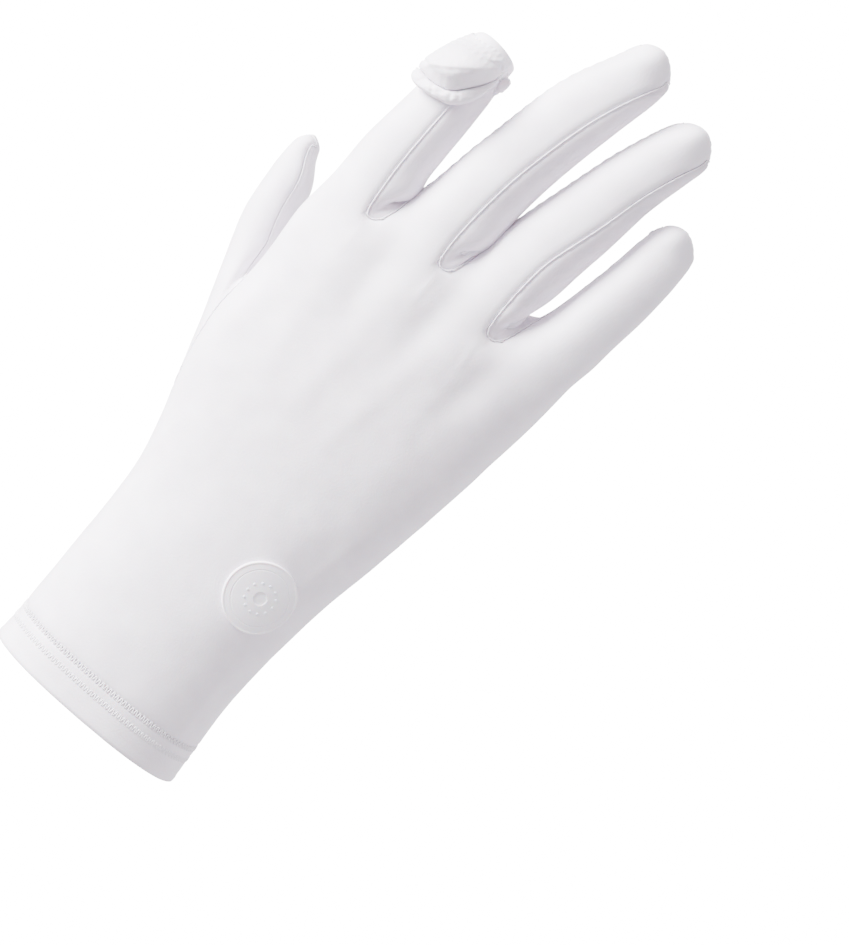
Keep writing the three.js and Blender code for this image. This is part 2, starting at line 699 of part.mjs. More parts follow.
function hoodGeometry() {
  const cuts = 11;
  const finger = FINGERS.index.sections;
  const outer = [];
  const inner = [];
  for (let i = 0; i < cuts; i++) {
    const x = mix(HOOD[0].x, HOOD.at(-1).x, i / (cuts - 1));
    const cut = Object.fromEntries(Object.keys(HOOD[0]).map(name => [name, along(HOOD, "x", name, x)]));
    const { lipZ, lowZ, topZ, bulge, lobe } = cut;
    const round = Math.sqrt(1 - ((x - HOOD_CENTRE) / HOOD_HALF_WIDTH) ** 2);
    const fingerBack = z => along(finger, "z", "y", z) - along(finger, "z", "halfDepth", z) * round;
    const profile = rows(["off", "z"], [
      [bulge * 0.82, lipZ],
      [bulge * 0.96, mix(lipZ, topZ, 0.22)],
      [bulge, mix(lipZ, topZ, 0.45)],
      [bulge * 0.9, mix(lipZ, topZ, 0.7)],
      [bulge * 0.64, mix(lipZ, topZ, 0.92)],
      [mix(HOOD_SEAT + 0.9, bulge, 0.3), topZ],
      [HOOD_SEAT + 0.9, topZ - 0.8],
      [HOOD_SEAT + 0.2, mix(topZ, lowZ, 0.4)],
      [HOOD_SEAT, mix(topZ, lowZ, 0.75)],
      [HOOD_SEAT + 0.2, lowZ + 0.9],
      [mix(HOOD_SEAT, lobe, 0.5), lowZ],
      [lobe * 0.97, lowZ + 0.9],
      [lobe, mix(lowZ, lipZ, 0.6)],
      [lobe * 0.95, lipZ + 0.9],
    ]);
    const last = profile.length - 1;
    const outerCut = [];
    const innerCut = [];
    profile.forEach(({ off, z }, j) => {
      const before = profile[Math.max(j - 1, 0)];
      const after = profile[Math.min(j + 1, last)];
      const length = Math.hypot(after.off - before.off, after.z - before.z);
      const inOff = -(after.z - before.z) / length * HOOD_WALL;
      const inZ = (after.off - before.off) / length * HOOD_WALL;
      outerCut.push(new THREE.Vector3(x, fingerBack(z) - off, z));
      innerCut.push(new THREE.Vector3(x, fingerBack(z + inZ) - off - inOff, z + inZ));
    });
    outer.push(outerCut);
    inner.push(innerCut);
  }
  return sheetSolid(outer.reverse(), inner.reverse());
}

// Badge: a thin dished disc with a raised edge, bent to the back of the wrist

function badgeGeometry() {
  const sides = 30;
  const centreTurn = turnAt(BADGE_X, BADGE_Z, false);
  const stretch = 0.5;
  const perDegree = handPoint(centreTurn + stretch, BADGE_Z).distanceTo(handPoint(centreTurn - stretch, BADGE_Z));
  const surface = (radius, angle, height) => {
    const turn = centreTurn + radius * Math.cos(angle) / perDegree;
    const z = BADGE_Z + radius * Math.sin(angle);
    const around = handPoint(turn + stretch, z).sub(handPoint(turn - stretch, z));
    const up = handPoint(turn, z + stretch).sub(handPoint(turn, z - stretch));
    return handPoint(turn, z).addScaledVector(around.cross(up).normalize(), height);
  };
  const top = BADGE_CLEAR + BADGE_THICK;
  const profile = rows(["radius", "height"], [
    [BADGE_RADIUS * 0.5, BADGE_CLEAR],
    [BADGE_RADIUS, BADGE_CLEAR],
    [BADGE_RADIUS, top + BADGE_RIM - 0.2],
    [BADGE_RADIUS - 0.3, top + BADGE_RIM],
    [BADGE_RADIUS - 1.1, top + BADGE_RIM],
    [BADGE_RADIUS - 1.5, top],
    [BADGE_RADIUS * 0.5, top],
  ]);
  const positions = [...surface(0, 0, BADGE_CLEAR), ...surface(0, 0, top)];
  profile.forEach(({ radius, height }) => {
    for (let i = 0; i < sides; i++) positions.push(...surface(radius, 2 * Math.PI * i / sides, height));
  });
  const at = (ring, i) => 2 + ring * sides + i % sides;
  const triangles = [];
  const last = profile.length - 1;
  for (let i = 0; i < sides; i++) {
    triangles.push(0, at(0, i), at(0, i + 1), 1, at(last, i + 1), at(last, i));
    for (let ring = 0; ring < last; ring++) {
      triangles.push(at(ring, i), at(ring + 1, i), at(ring + 1, i + 1));
      triangles.push(at(ring, i), at(ring + 1, i + 1), at(ring, i + 1));
    }
  }
  return solidGeometry(positions, triangles.reverse());
}

// Assembly

const group = new THREE.Group();

function addPart(name, geometry, color, roughness) {
  const mesh = new THREE.Mesh(geometry, new THREE.MeshStandardMaterial({ color, roughness, metalness: 0 }));
  mesh.name = name;
  group.add(mesh);
}

const panels = [
  "back_panel", "finger_palm_panel", "lower_palm_panel", "thumb_back", "thumb_front",
];
panels.forEach(name => addPart(name, clothPanel(name, 0, WALL), COLOURS.jersey, 0.75));
FOURCHETTES.forEach(name => addPart(name, clothPanel(name, 0, WALL), COLOURS.fourchette, 0.75));
["cuff_hem", "index_tip_rim"].forEach(name =>
  addPart(name, clothPanel(name, HEM_PROUD, HEM_WALL - HEM_PROUD), COLOURS.jersey, 0.75));
addPart("index_tip_hood", hoodGeometry(), COLOURS.jersey, 0.75);
addPart("badge", badgeGeometry(), COLOURS.rubber, 0.4);

export default group;
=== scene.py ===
import math

import bpy
import numpy as np
from mathutils import Matrix, Vector, noise
from mathutils.bvhtree import BVHTree
from mathutils.kdtree import KDTree


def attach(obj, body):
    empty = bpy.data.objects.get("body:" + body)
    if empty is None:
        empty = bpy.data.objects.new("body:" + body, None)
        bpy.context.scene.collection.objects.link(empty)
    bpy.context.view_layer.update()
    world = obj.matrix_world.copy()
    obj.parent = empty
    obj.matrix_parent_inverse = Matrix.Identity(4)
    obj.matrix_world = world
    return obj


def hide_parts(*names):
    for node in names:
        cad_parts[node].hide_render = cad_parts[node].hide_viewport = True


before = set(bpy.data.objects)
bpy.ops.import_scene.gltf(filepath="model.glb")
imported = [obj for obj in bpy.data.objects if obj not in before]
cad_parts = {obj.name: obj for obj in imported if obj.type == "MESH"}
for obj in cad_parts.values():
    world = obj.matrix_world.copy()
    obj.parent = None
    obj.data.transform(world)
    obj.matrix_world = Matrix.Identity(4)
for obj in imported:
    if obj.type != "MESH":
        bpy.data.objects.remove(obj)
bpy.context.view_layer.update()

# A right sun glove of thin white stretch jersey, in its worn form.
#
# The cloth is laid out as one coarse cage of four-sided faces with every seam on a cage line, as in
# the part's solids. The cage is rounded until its faces are about a millimetre wide, worked with
# seams, folds and soft relief, and then split into sewn panels with a cloth wall. Sizes are in
# millimetres until a mesh is made.

MM = 0.001

# Cloth and trim sizes

CLOTH = 0.8              # jersey with its edge turned in
HEM_CLOTH = 1.5          # the doubled cuff hem and fingertip rim
HEM_PROUD = 0.04         # the hem stands this far outside the panels
SEAM_GAP = 0.12          # between two panels at their seam
EDGE_SET_BACK = 0.22     # a panel's two faces stop this far short of its edge
EDGE_ROUND = 0.12        # and close in by this much there, which rounds the edge
SEAM_DEPTH = 0.18        # the cloth dips this much towards a seam
SEAM_DIP_WIDTH = 0.75
SEAM_ROLL = 0.08         # and swells this much beside it
SEAM_ROLL_AWAY = 1.5
SEAM_ROLL_WIDTH = 0.95
SEAM_EDGE = 0.19         # radius of the rolled edge that stands on the seam
FACE_SQUARE = 2.25       # 2 gives oval cross-sections, more gives boxier ones
ROUNDS = 3               # halvings of the cage's faces

BINDING = 3.6            # width of the turned edge round an opening
BINDING_RISE = 0.22
BINDING_GROOVE = 2.5     # from its edge to the line that its stitches draw in
STITCH_GROOVE = 0.16     # how deep a row of stitches draws in the cloth
HEM_GROOVE_WIDTH = 0.8

# Half the length, width and thickness of one stitch
SEAM_STITCH = (0.75, 0.125, 0.125)
HEM_STITCH = (0.9, 0.18, 0.18)
OPENING_STITCH = (0.6, 0.25, 0.2)
RIM_STITCH = (0.5, 0.18, 0.15)

SEAM_PITCH = 2.3
HEM_PITCH = 1.25
HEM_LEAN = 15            # degrees that a hem stitch leans from upright
HEM_ROWS = (7.4, 10.9)
OPENING_ROWS = (1.9, 3.2)   # the two lines of topstitch, from the palm opening's edge
OPENING_PITCH = 1.7
RIM_ROW = 3.2
RIM_PITCH = 1.4
HIDDEN_SEAMS_FROM = 158  # above this the fingers' thumb-side seams are stitched from the inside

DOT_RADIUS = 0.85        # printed silicone ring, to the middle of its bead
DOT_BEAD = 0.24
DOT_PITCH = 3.9
DOT_FIELD_X = (-46, 46)
DOT_FIELD_Z = (112, 232)
DOT_CLEAR = 2.6          # from a seam to the nearest dot
DOT_CLEAR_ON_RIM = 1.4

BADGE_RADIUS = 10.0
BADGE_THICK = 0.8
BADGE_X = 15.8
BADGE_Z = 54.6
BADGE_SIDES = 72
BADGE_RECESS = 0.2
BADGE_DOTS = 12
BADGE_DOT_CIRCLE = 4.2
BADGE_DOT = (0.42, 0.42, 0.15)

ELEVATION = math.radians(9)   # the camera looks down on the glove's back by this much

THUMB_HOLE = {"turn": -111, "half_turn": 26, "z": 97, "half_height": 20.5}


def rows(names, table):
    return [dict(zip(names, row)) for row in table]


# Shape tables. One row for each cross-section, from the cuff up. The fingers and the thumb are
# drawn a little tighter than in the part's solids.

BODY = rows(("z", "thumb_side", "little_side", "back", "palm"), [
    (0, -29.8, 29.5, 20.5, 20.5),
    (12, -29.8, 28.7, 20.0, 20.0),
    (26, -30.1, 27.7, 19.4, 19.5),
    (40, -30.5, 28.3, 19.0, 19.4),
    (52, -30.8, 29.4, 18.6, 19.6),
    (62, -32.3, 30.4, 18.2, 20.0),
    (72, -35.0, 32.0, 17.6, 20.6),
    (82, -38.3, 33.9, 17.0, 20.6),
    (92, -41.2, 35.1, 16.4, 20.0),
    (102, -42.4, 36.6, 15.8, 18.8),
    (112, -42.4, 37.8, 15.2, 17.2),
    (122, -42.4, 38.8, 14.8, 15.6),
    (132, -42.6, 39.8, 14.0, 14.2),
    (143, -42.9, 40.8, 12.7, 12.4),
    (156, -42.9, 41.9, 10.4, 10.4),
])
SEAMS = rows(("z", "little", "thumb"), [
    (0, 157, 228),
    (26, 156, 229),
    (47, 153, 232),
    (65, 142, 236),
    (80, 128, 240),
    (99, 121, 244),
    (118, 121.5, 246),
    (139, 125, 247),
])
RINGS = [0, 11, 27, 44, 61, 78, 91, 104, 117, 128, 138]
BACK_COLUMNS = rows(("column", "cuff", "knuckles"), [
    (0, -92, -80),
    (2, -55, -43),
    (3, -36, -33),
    (5, 1, -7),
    (6, 20, 0),
    (8, 57, 20),
    (9, 76, 29),
    (11, 113, 74),
])
ROOT_SIDES = rows(("column", "back_x", "back_y", "back_z", "middle_z", "palm_x", "palm_y", "palm_z"), [
    (0, -41.9, -5.0, 148.5, 149.5, -39.6, 5.5, 150.0),
    (2, -28.3, -9.8, 146.2, 156.6, -27.2, 8.2, 157.0),
    (3, -25.9, -10.0, 147.6, 158.2, -23.0, 8.4, 158.2),
    (5, -5.5, -10.9, 149.4, 160.6, -5.0, 8.8, 161.2),
    (6, -4.1, -10.9, 150.6, 161.4, -1.4, 8.8, 161.6),
    (8, 15.0, -10.2, 142.0, 152.8, 15.8, 8.4, 154.0),
    (9, 17.2, -9.7, 143.4, 153.0, 20.2, 8.0, 154.2),
    (11, 40.2, -5.0, 147.5, 148.5, 38.6, 5.6, 149.0),
])
FINGER_COLUMNS = ("z", "x", "y", "half_width", "half_depth", "seam")
FINGERS = {
    "index": (rows(FINGER_COLUMNS, [
        (160, -32.85, 0.2, 9.75, 9.2, 16),
        (172, -32.05, 1.0, 9.45, 8.6, 8.5),
        (184, -31.75, 2.8, 8.85, 8.2, 8),
        (195, -31.5, 5.0, 7.7, 7.8, 9),
        (199.6, -31.0, 7.2, 6.8, 7.4, 9),
    ]), None),
    "middle": (rows(FINGER_COLUMNS, [
        (163, -10.75, 0.0, 10.65, 9.6, 22),
        (178, -8.45, 1.0, 10.65, 9.1, 15.6),
        (191, -6.35, 2.9, 10.25, 8.7, 19.4),
        (204, -3.5, 5.6, 9.9, 8.4, 24),
        (217, 0.8, 9.4, 8.3, 7.7, 38),
    ]), (3.2, 12.9, 227.7)),
    "ring": (rows(FINGER_COLUMNS, [
        (161, 11.4, -0.1, 10.5, 9.3, 17.5),
        (171, 12.65, 0.7, 10.75, 8.9, 17.3),
        (184, 15.25, 2.4, 9.95, 8.6, 27.4),
        (197, 17.7, 5.0, 8.9, 8.3, 37),
        (209, 21.5, 8.2, 8.0, 7.7, 48),
    ]), (24.8, 11.4, 219.4)),
    "little": (rows(FINGER_COLUMNS, [
        (156, 32.65, 0.1, 9.25, 8.6, 55),
        (164, 33.95, 0.8, 8.65, 8.3, 55),
        (172, 35.2, 1.9, 8.2, 8.0, 55),
        (180, 36.1, 3.5, 7.8, 7.6, 55),
        (188, 36.6, 5.6, 7.1, 7.0, 55),
    ]), (36.7, 8.0, 196.8)),
}
THUMB = rows(("z", "x", "y", "half_width", "half_depth"), [
    (121, -45.6, 17.4, 6.6, 9.4),
    (129, -48.0, 20.0, 6.2, 9.2),
    (137, -49.5, 22.4, 5.8, 7.6),
    (143, -51.6, 24.0, 4.0, 5.8),
])
THUMB_TIP = (-52.5, 25.4, 148.6)
THUMB_LEAN = 24          # turn of its cross-sections, in degrees
OPENING_HEEL = [(-26.0, 78.6), (-19.0, 79.2), (-12.0, 81.9), (-4.5, 86.2), (3.6, 93.0)]
OPENING_LITTLE = [(9.6, 101.0), (14.4, 111.5), (17.6, 123.0), (18.6, 131.0), (17.9, 138.0)]
OPENING_FINGERS = [(7.6, 137.6), (-5.4, 136.6), (-19.3, 132.8), (-26.6, 128.6), (-31.2, 121.6)]

HOOD_WALL = 0.7
HOOD_SEAT = 0.85

# Soft relief in the cloth: the middle of each mound (or hollow, below zero), its half width and
# half length, and how far it leans from upright towards the little finger, in degrees.
RELIEF_COLUMNS = ("side", "x", "z", "across", "along", "lean", "height")
RELIEF = rows(RELIEF_COLUMNS, [
    ("back", -27.0, 136.0, 7.0, 10.0, -6, 0.9),
    ("back", -8.0, 139.5, 7.0, 11.0, 0, 1.1),
    ("back", 11.5, 135.5, 6.5, 10.0, 8, 0.8),
    ("back", 30.0, 130.0, 6.5, 11.0, 12, 0.6),
    ("back", -17.0, 138.0, 3.6, 14.0, -3, -0.7),
    ("back", 2.5, 139.0, 3.6, 14.0, 4, -0.6),
    ("back", 21.5, 131.0, 3.6, 13.0, 10, -0.6),
    ("back", -10.0, 112.0, 3.4, 20.0, 2, 0.35),
    ("back", 4.0, 110.0, 3.2, 20.0, 6, 0.3),
    ("back", -24.0, 112.0, 3.4, 18.0, -8, 0.3),
    ("back", -33.0, 112.0, 6.0, 14.0, -18, -0.5),
    ("back", 20.0, 66.0, 7.0, 12.0, 6, -0.5),
    ("back", -18.0, 60.0, 9.0, 16.0, 4, -0.4),
    ("palm", 8.0, 62.0, 8.0, 18.0, 4, 0.5),
    ("palm", -16.0, 62.0, 8.0, 14.0, -10, 0.5),
])

# Small folds: thin, long mounds that the stretched jersey draws at webs, joints and the wrist.
FOLDS = rows(RELIEF_COLUMNS, [
    ("back", -27.4, 140.6, 0.9, 4.0, -4, 0.12),
    ("back", -4.6, 143.2, 0.8, 3.8, 2, 0.16),
    ("back", 17.6, 146.4, 0.7, 3.4, 26, 0.35),
    ("back", 19.6, 148.6, 0.7, 3.6, 18, 0.35),
    ("back", 18.4, 150.6, 0.7, 3.4, 34, 0.3),
    ("back", 15.2, 137.0, 0.9, 4.6, -8, 0.14),
    ("back", -28.0, 22.0, 2.2, 16.0, 5, 0.30),
    ("back", 22.5, 24.0, 2.0, 15.0, -4, 0.28),
    ("back", 25.0, 76.0, 1.8, 10.0, 12, 0.26),
    ("palm", -32.0, 178.0, 5.5, 1.1, 8, 0.28),
    ("palm", -8.8, 181.0, 6.5, 1.1, 6, 0.30),
    ("palm", -5.4, 200.0, 6.0, 1.0, 4, 0.24),
    ("palm", 12.6, 178.5, 6.0, 1.1, 2, 0.30),
    ("palm", 17.0, 196.0, 5.5, 1.0, 4, 0.24),
    ("palm", 33.6, 170.0, 6.0, 1.1, -4, 0.28),
    ("palm", -11.0, 160.0, 6.5, 1.2, 4, 0.34),
    ("palm", 10.6, 158.0, 6.0, 1.2, -2, 0.34),
    ("palm", -32.5, 158.5, 6.0, 1.2, 6, 0.30),
    ("palm", 31.5, 152.0, 6.0, 1.2, -8, 0.30),
    ("palm", 14.0, 40.0, 2.0, 14.0, 6, 0.30),
    ("palm", -16.0, 36.0, 2.0, 13.0, -6, 0.28),
    ("palm", 22.0, 92.0, 1.6, 9.0, 22, 0.30),
])

# Folds drawn as lines over the cloth: spots as seen from the back, half width and height.
FOLD_LINES = [
    ([(15.2, 154.0), (18.4, 146.8)], 0.7, 0.4),
    ([(17.0, 156.0), (20.2, 149.2)], 0.7, 0.4),
    ([(15.0, 149.6), (17.2, 144.4)], 0.6, 0.35),
]

# Where two fingers press their side strips together near the web between them.
PINCH_WIDTH = 4.0
PINCH_DEPTH = 12         # from the middle of the glove towards its back and its palm
PINCHES = rows(("x", "z", "facing", "along", "height"), [
    (-22.8, 159.0, 1, 4.0, 0.5),
    (-24.2, 156.5, 1, 5.0, 2.0),
    (-21.6, 159.0, -1, 4.0, 0.4),
    (0.6, 164.0, 1, 8.0, 0.7),
    (-1.2, 158.0, 1, 6.5, 1.9),
    (1.2, 164.0, -1, 8.0, 0.7),
    (20.0, 151.5, 1, 6.0, 2.6),
    (22.6, 151.0, -1, 4.0, 0.4),
])

# Uneven slack all over the cloth: height, size of the lumps and seed.
SLACK = [(0.16, 11.0, 3.0), (0.06, 4.0, 9.0)]


# Small helpers

def mix(a, b, t):
    return a + (b - a) * t


def eased(t):
    return t * t * (3 - 2 * t)


def bell(distance, width):
    return np.exp(-(distance / width) ** 2)


def sin_cos(degrees):
    return math.sin(math.radians(degrees)), math.cos(math.radians(degrees))


def span(start, end):
    """Whole numbers from start to end, both included, up or down."""
    step = 1 if end >= start else -1
    return list(range(start, end + step, step))


def unit(vectors):
    length = np.linalg.norm(vectors, axis=-1, keepdims=True)
    return vectors / np.maximum(length, 1e-12)


def along(table, key, name, value):
    """A smooth value of one column of a table, at any value of its key column."""
    last = len(table) - 1
    i = 0
    while i < last - 1 and table[i + 1][key] < value:
        i += 1
    width = table[i + 1][key] - table[i][key]
    t = (value - table[i][key]) / width

    def slope(j):
        low, high = max(j - 1, 0), min(j + 1, last)
        return (table[high][name] - table[low][name]) / (table[high][key] - table[low][key])

    if t <= 0:
        return table[i][name] + slope(i) * (value - table[i][key])
    if t >= 1:
        return table[i + 1][name] + slope(i + 1) * (value - table[i + 1][key])
    a, b = table[i][name], table[i + 1][name]
    m, n = slope(i) * width, slope(i + 1) * width
    return (a * (2 * t ** 3 - 3 * t ** 2 + 1) + m * (t ** 3 - 2 * t ** 2 + t)
            + b * (3 * t ** 2 - 2 * t ** 3) + n * (t ** 3 - t ** 2))


def at_height(table, z, *names):
    return [along(table, "z", name, z) for name in names]


def flat_on(vectors, normals):
    """The directions of the vectors along a surface with these normals."""
    return unit(vectors - normals * (vectors * normals).sum(axis=1, keepdims=True))


def joined(meshes):
    """One mesh from several, each with its points and faces."""
    points, faces = [], []
    count = 0
    for more_points, more_faces in meshes:
        points.append(more_points)
        faces += [tuple(i + count for i in face) for face in more_faces]
        count += len(more_points)
    return np.vstack(points), faces


def tube_faces(low, high, sides):
    """Faces between two rings of points, whose first points have these numbers."""
    return [(low + j, low + (j + 1) % sides, high + (j + 1) % sides, high + j) for j in range(sides)]


def smooth_line(points, count, power=0.5):
    """Evenly spaced points on a centripetal Catmull-Rom line through the given ones."""
    p = np.array(points, float)
    p = np.vstack([2 * p[0] - p[1], p, 2 * p[-1] - p[-2]])
    dense = [p[1]]
    for k in range(1, len(p) - 2):
        a, b, c, d = p[k - 1:k + 3]
        t1 = np.linalg.norm(b - a) ** power
        t2 = t1 + np.linalg.norm(c - b) ** power
        t3 = t2 + np.linalg.norm(d - c) ** power
        for t in np.linspace(t1, t2, 25)[1:]:
            ab = mix(a, b, t / t1)
            bc = mix(b, c, (t - t1) / (t2 - t1))
            cd = mix(c, d, (t - t2) / (t3 - t2))
            first, second = mix(ab, bc, t / t2), mix(bc, cd, (t - t1) / (t3 - t1))
            dense.append(mix(first, second, (t - t1) / (t2 - t1)))
    return evenly(np.array(dense), count)


def evenly(line, count):
    """The same line again, with this many evenly spaced points."""
    steps = np.linalg.norm(np.diff(line, axis=0), axis=1)
    reached = np.concatenate([[0], np.cumsum(steps)])
    at = np.linspace(0, reached[-1], count)
    return np.stack([np.interp(at, reached, line[:, k]) for k in range(line.shape[1])], axis=1)


# Glove body

def signed_power(value, power):
    return math.copysign(abs(value) ** power, value)


def body_point(turn, z):
    left, right, back, palm = at_height(BODY, z, "thumb_side", "little_side", "back", "palm")
    s, c = sin_cos(turn)
    depth = back if c > 0 else palm
    power = 2 / FACE_SQUARE
    x = mix(left, right, 0.5) + (right - left) / 2 * signed_power(s, power)
    return np.array([x, -depth * signed_power(c, power), z])


def turn_at(x, z, on_palm):
    left, right = at_height(BODY, z, "thumb_side", "little_side")
    u = min(1, max(-1, (x - mix(left, right, 0.5)) / ((right - left) / 2)))
    turn = math.degrees(math.asin(signed_power(u, FACE_SQUARE / 2)))
    return 180 - turn if on_palm else turn


# Cage. Columns 0 to 11 run over the back, 12 is on the little finger's side, 13 to 24 run over the
# palm back towards the thumb, 25 is on the thumb's side.

ACROSS = 11
LITTLE_SIDE = 12
THUMB_SIDE = 25
AROUND = 26
OPENING_FROM, OPENING_TO = 1, 9
OPENING_RING, OPENING_TOP_RING, THUMB_TOP_RING = 5, 10, 8
FOURCHETTES = ["fourchette_index_middle", "fourchette_middle_ring", "fourchette_ring_little"]
THUMB_WARD_SEAM = -104
PALM_SEAMS = (124, 232)
THUMB_CROTCH_LIFT = 2.4
ROOT_HEIGHT = 151        # where the glove's body ends and the fingers start
TAPER_FROM, TAPER_TO = 35, 120   # the back's columns gather between these heights
TIP_NECK = 0.62          # a closed tip's shoulder lies this share of the way to the tip
TIP_SHRINK = 0.78        # and is this share as wide as the last cross-section
TIP_SEAMS = (98, 108)    # where the side strips run to at a closed tip, in degrees
SPREAD_ROUNDS = 30       # evening out of the palm's cage points
FIT_ROUNDS = 4           # moves of the cage that bring the rounded cloth to the tables' sizes
WEB_SHIFT = {0: -1.6, 2: 0.9, 3: 1.9, 5: 0.9, 6: 1.9, 8: 1.2, 9: 2.2, 11: 1.6}


def palm_column(k):
    return THUMB_SIDE - 1 - k


class Cage:
    """The coarse cage: its points, and its faces with the panel that each belongs to."""

    def __init__(self):
        self.points = []
        self.faces = []
        self.panels = []
        self.soft = []

    def add(self, point):
        self.points.append(np.array(point, float))
        return len(self.points) - 1

    def face(self, panel, *corners):
        self.panels.append(panel)
        self.faces.append(corners)

    def band(self, lower, upper, panel_at):
        """Joins two rings of the same count."""
        count = len(lower)
        for i in range(count):
            panel = panel_at(i)
            if panel:
                j = (i + 1) % count
                self.face(panel, lower[i], lower[j], upper[j], upper[i])


def column_turn(column, z):
    rise = eased(min(1, max(0, (z - TAPER_FROM) / (TAPER_TO - TAPER_FROM))))

    def back(k):
        cuff = along(BACK_COLUMNS, "column", "cuff", k)
        return mix(cuff, along(BACK_COLUMNS, "column", "knuckles", k), rise)

    little, thumb = at_height(SEAMS, min(z, SEAMS[-1]["z"]), "little", "thumb")
    if column <= ACROSS:
        return back(column)
    if column == LITTLE_SIDE:
        return mix(back(ACROSS), little, 0.5)
    if column == THUMB_SIDE:
        return mix(thumb, back(0) + 360, 0.5)
    return mix(little, thumb, (column - palm_column(ACROSS)) / ACROSS)


THUMB_ROOT = [
    (5, 0), (6, 0), (7, 0), (8, 0), (8, 25), (8, 24),
    (8, 23), (7, 23), (6, 23), (5, 23), (5, 24), (5, 25),
]
THUMB_ROOT_SHIFT = (8, 6, -1, -8, -9, -4, 0, 0, 0, 0, 0, 4)


def in_opening(ring, column):
    return (OPENING_RING < ring < OPENING_TOP_RING
            and palm_column(OPENING_TO) < column < palm_column(OPENING_FROM))


def in_thumb_root(ring, column):
    return OPENING_RING < ring < THUMB_TOP_RING and column > palm_column(OPENING_FROM)


def is_cut_out(ring, column):
    return in_opening(ring, column) or in_thumb_root(ring, column)


def body_places():
    """Turn and height of each cage point of the body, with the thumb hole and palm opening laid in."""
    places = {(r, c): (column_turn(c, z), z) for r, z in enumerate(RINGS) for c in range(AROUND)}
    held = set()

    def hold(spot, turn, z):
        places[spot] = (turn + 360 if turn < -60 and spot[1] > ACROSS else turn, z)
        held.add(spot)

    for i, spot in enumerate(THUMB_ROOT):
        s, c = sin_cos(-45 + 30 * i)
        hold(spot, THUMB_HOLE["turn"] + THUMB_HOLE["half_turn"] * c + THUMB_ROOT_SHIFT[i],
             THUMB_HOLE["z"] + THUMB_HOLE["half_height"] * s)

    def seen_square_on(spot):
        point = body_point(*places[spot])
        return (point[0], point[2])

    def lay_edge(spots, outline):
        for spot, (x, z) in zip(spots, smooth_line(outline, len(spots))):
            if spot not in held:
                hold(spot, turn_at(x, z, True), z)

    heel_corner = (OPENING_RING, palm_column(OPENING_FROM))
    thumb_corner = (THUMB_TOP_RING, palm_column(OPENING_FROM))
    lay_edge([(OPENING_RING, palm_column(k)) for k in span(OPENING_FROM, OPENING_TO)],
             [seen_square_on(heel_corner), *OPENING_HEEL])
    lay_edge([(r, palm_column(OPENING_TO)) for r in span(OPENING_RING, OPENING_TOP_RING)],
             [OPENING_HEEL[-1], *OPENING_LITTLE])
    lay_edge([(OPENING_TOP_RING, palm_column(k)) for k in span(OPENING_TO, OPENING_FROM)]
             + [(OPENING_TOP_RING - 1, palm_column(OPENING_FROM)), thumb_corner],
             [OPENING_LITTLE[-1], *OPENING_FINGERS, seen_square_on(thumb_corner)])

    free = [(ring, column) for ring in range(2, len(RINGS) - 1)
            for column in range(palm_column(ACROSS) + 1, AROUND)
            if column != palm_column(0) and not is_cut_out(ring, column)]
    for _ in range(SPREAD_ROUNDS):
        for ring, column in free:
            if (ring, column) not in held:
                near = [places[ring, column - 1], places[ring, (column + 1) % AROUND],
                        places[ring - 1, column], places[ring + 1, column]]
                turns = [turn + 360 if turn < 0 else turn for turn, _ in near]
                places[ring, column] = (sum(turns) / 4, sum(z for _, z in near) / 4)
    return places


def body_panel(ring, column):
    if ring == 0:
        return "cuff_hem"
    if OPENING_RING <= ring < THUMB_TOP_RING and column >= palm_column(OPENING_FROM):
        return None
    if column <= LITTLE_SIDE or column >= palm_column(0):
        return "back_panel"
    across_opening = palm_column(OPENING_TO) <= column < palm_column(OPENING_FROM)
    if OPENING_RING <= ring < OPENING_TOP_RING and across_opening:
        return None
    if ring >= OPENING_TOP_RING:
        return "finger_palm_panel"
    above_thumb = ring >= THUMB_TOP_RING and column == palm_column(OPENING_FROM)
    return "finger_palm_panel" if above_thumb else "lower_palm_panel"


def section_ring(centre, ahead, section, angles, lean=0):
    """Points square to a tube's middle line. Angles go from the back to the little finger's side."""
    side = unit(np.array([1.0, 0, 0]) - ahead * ahead[0])
    back = unit(np.cross(side, ahead))
    s, c = sin_cos(lean)
    side, back = side * c + back * s, back * c - side * s
    return [centre + side * section["half_width"] * s + back * section["half_depth"] * c
            for s, c in map(sin_cos, angles)]


def close_tip(cage, ring, shape, across, tip, side_panel, end_panel):
    """Shrinks a tube's end towards its tip and closes it with a small grid. The shape is the ring
    that is shrunk, with its points slid along it so that the side strips narrow."""
    middle = sum(shape) / len(shape)
    neck = mix(middle, tip, TIP_NECK)
    dome = [cage.add(neck + (p - middle) * TIP_SHRINK) for p in shape]
    cage.band(ring, dome, side_panel)
    up = len(ring) // 2 - across
    grid = []
    for j in range(up + 1):
        line = []
        for i in range(across + 1):
            opposite = dome[2 * across + up - i]
            if j == 0:
                line.append(dome[i])
            elif j == up:
                line.append(opposite)
            elif i == across:
                line.append(dome[across + j])
            elif i == 0:
                line.append(dome[len(dome) - j])
            else:
                flat = mix(cage.points[dome[i]], cage.points[opposite], j / up)
                line.append(cage.add(flat + tip - neck))
        grid.append(line)
    for j in range(up):
        for i in range(across):
            cage.face(end_panel(j), grid[j][i], grid[j][i + 1], grid[j + 1][i + 1], grid[j + 1][i])


def direction(before, after):
    return unit(np.array([after[k] - before[k] for k in range(3)], float))


def centre_of(section):
    return np.array([section["x"], section["y"], section["z"]], float)


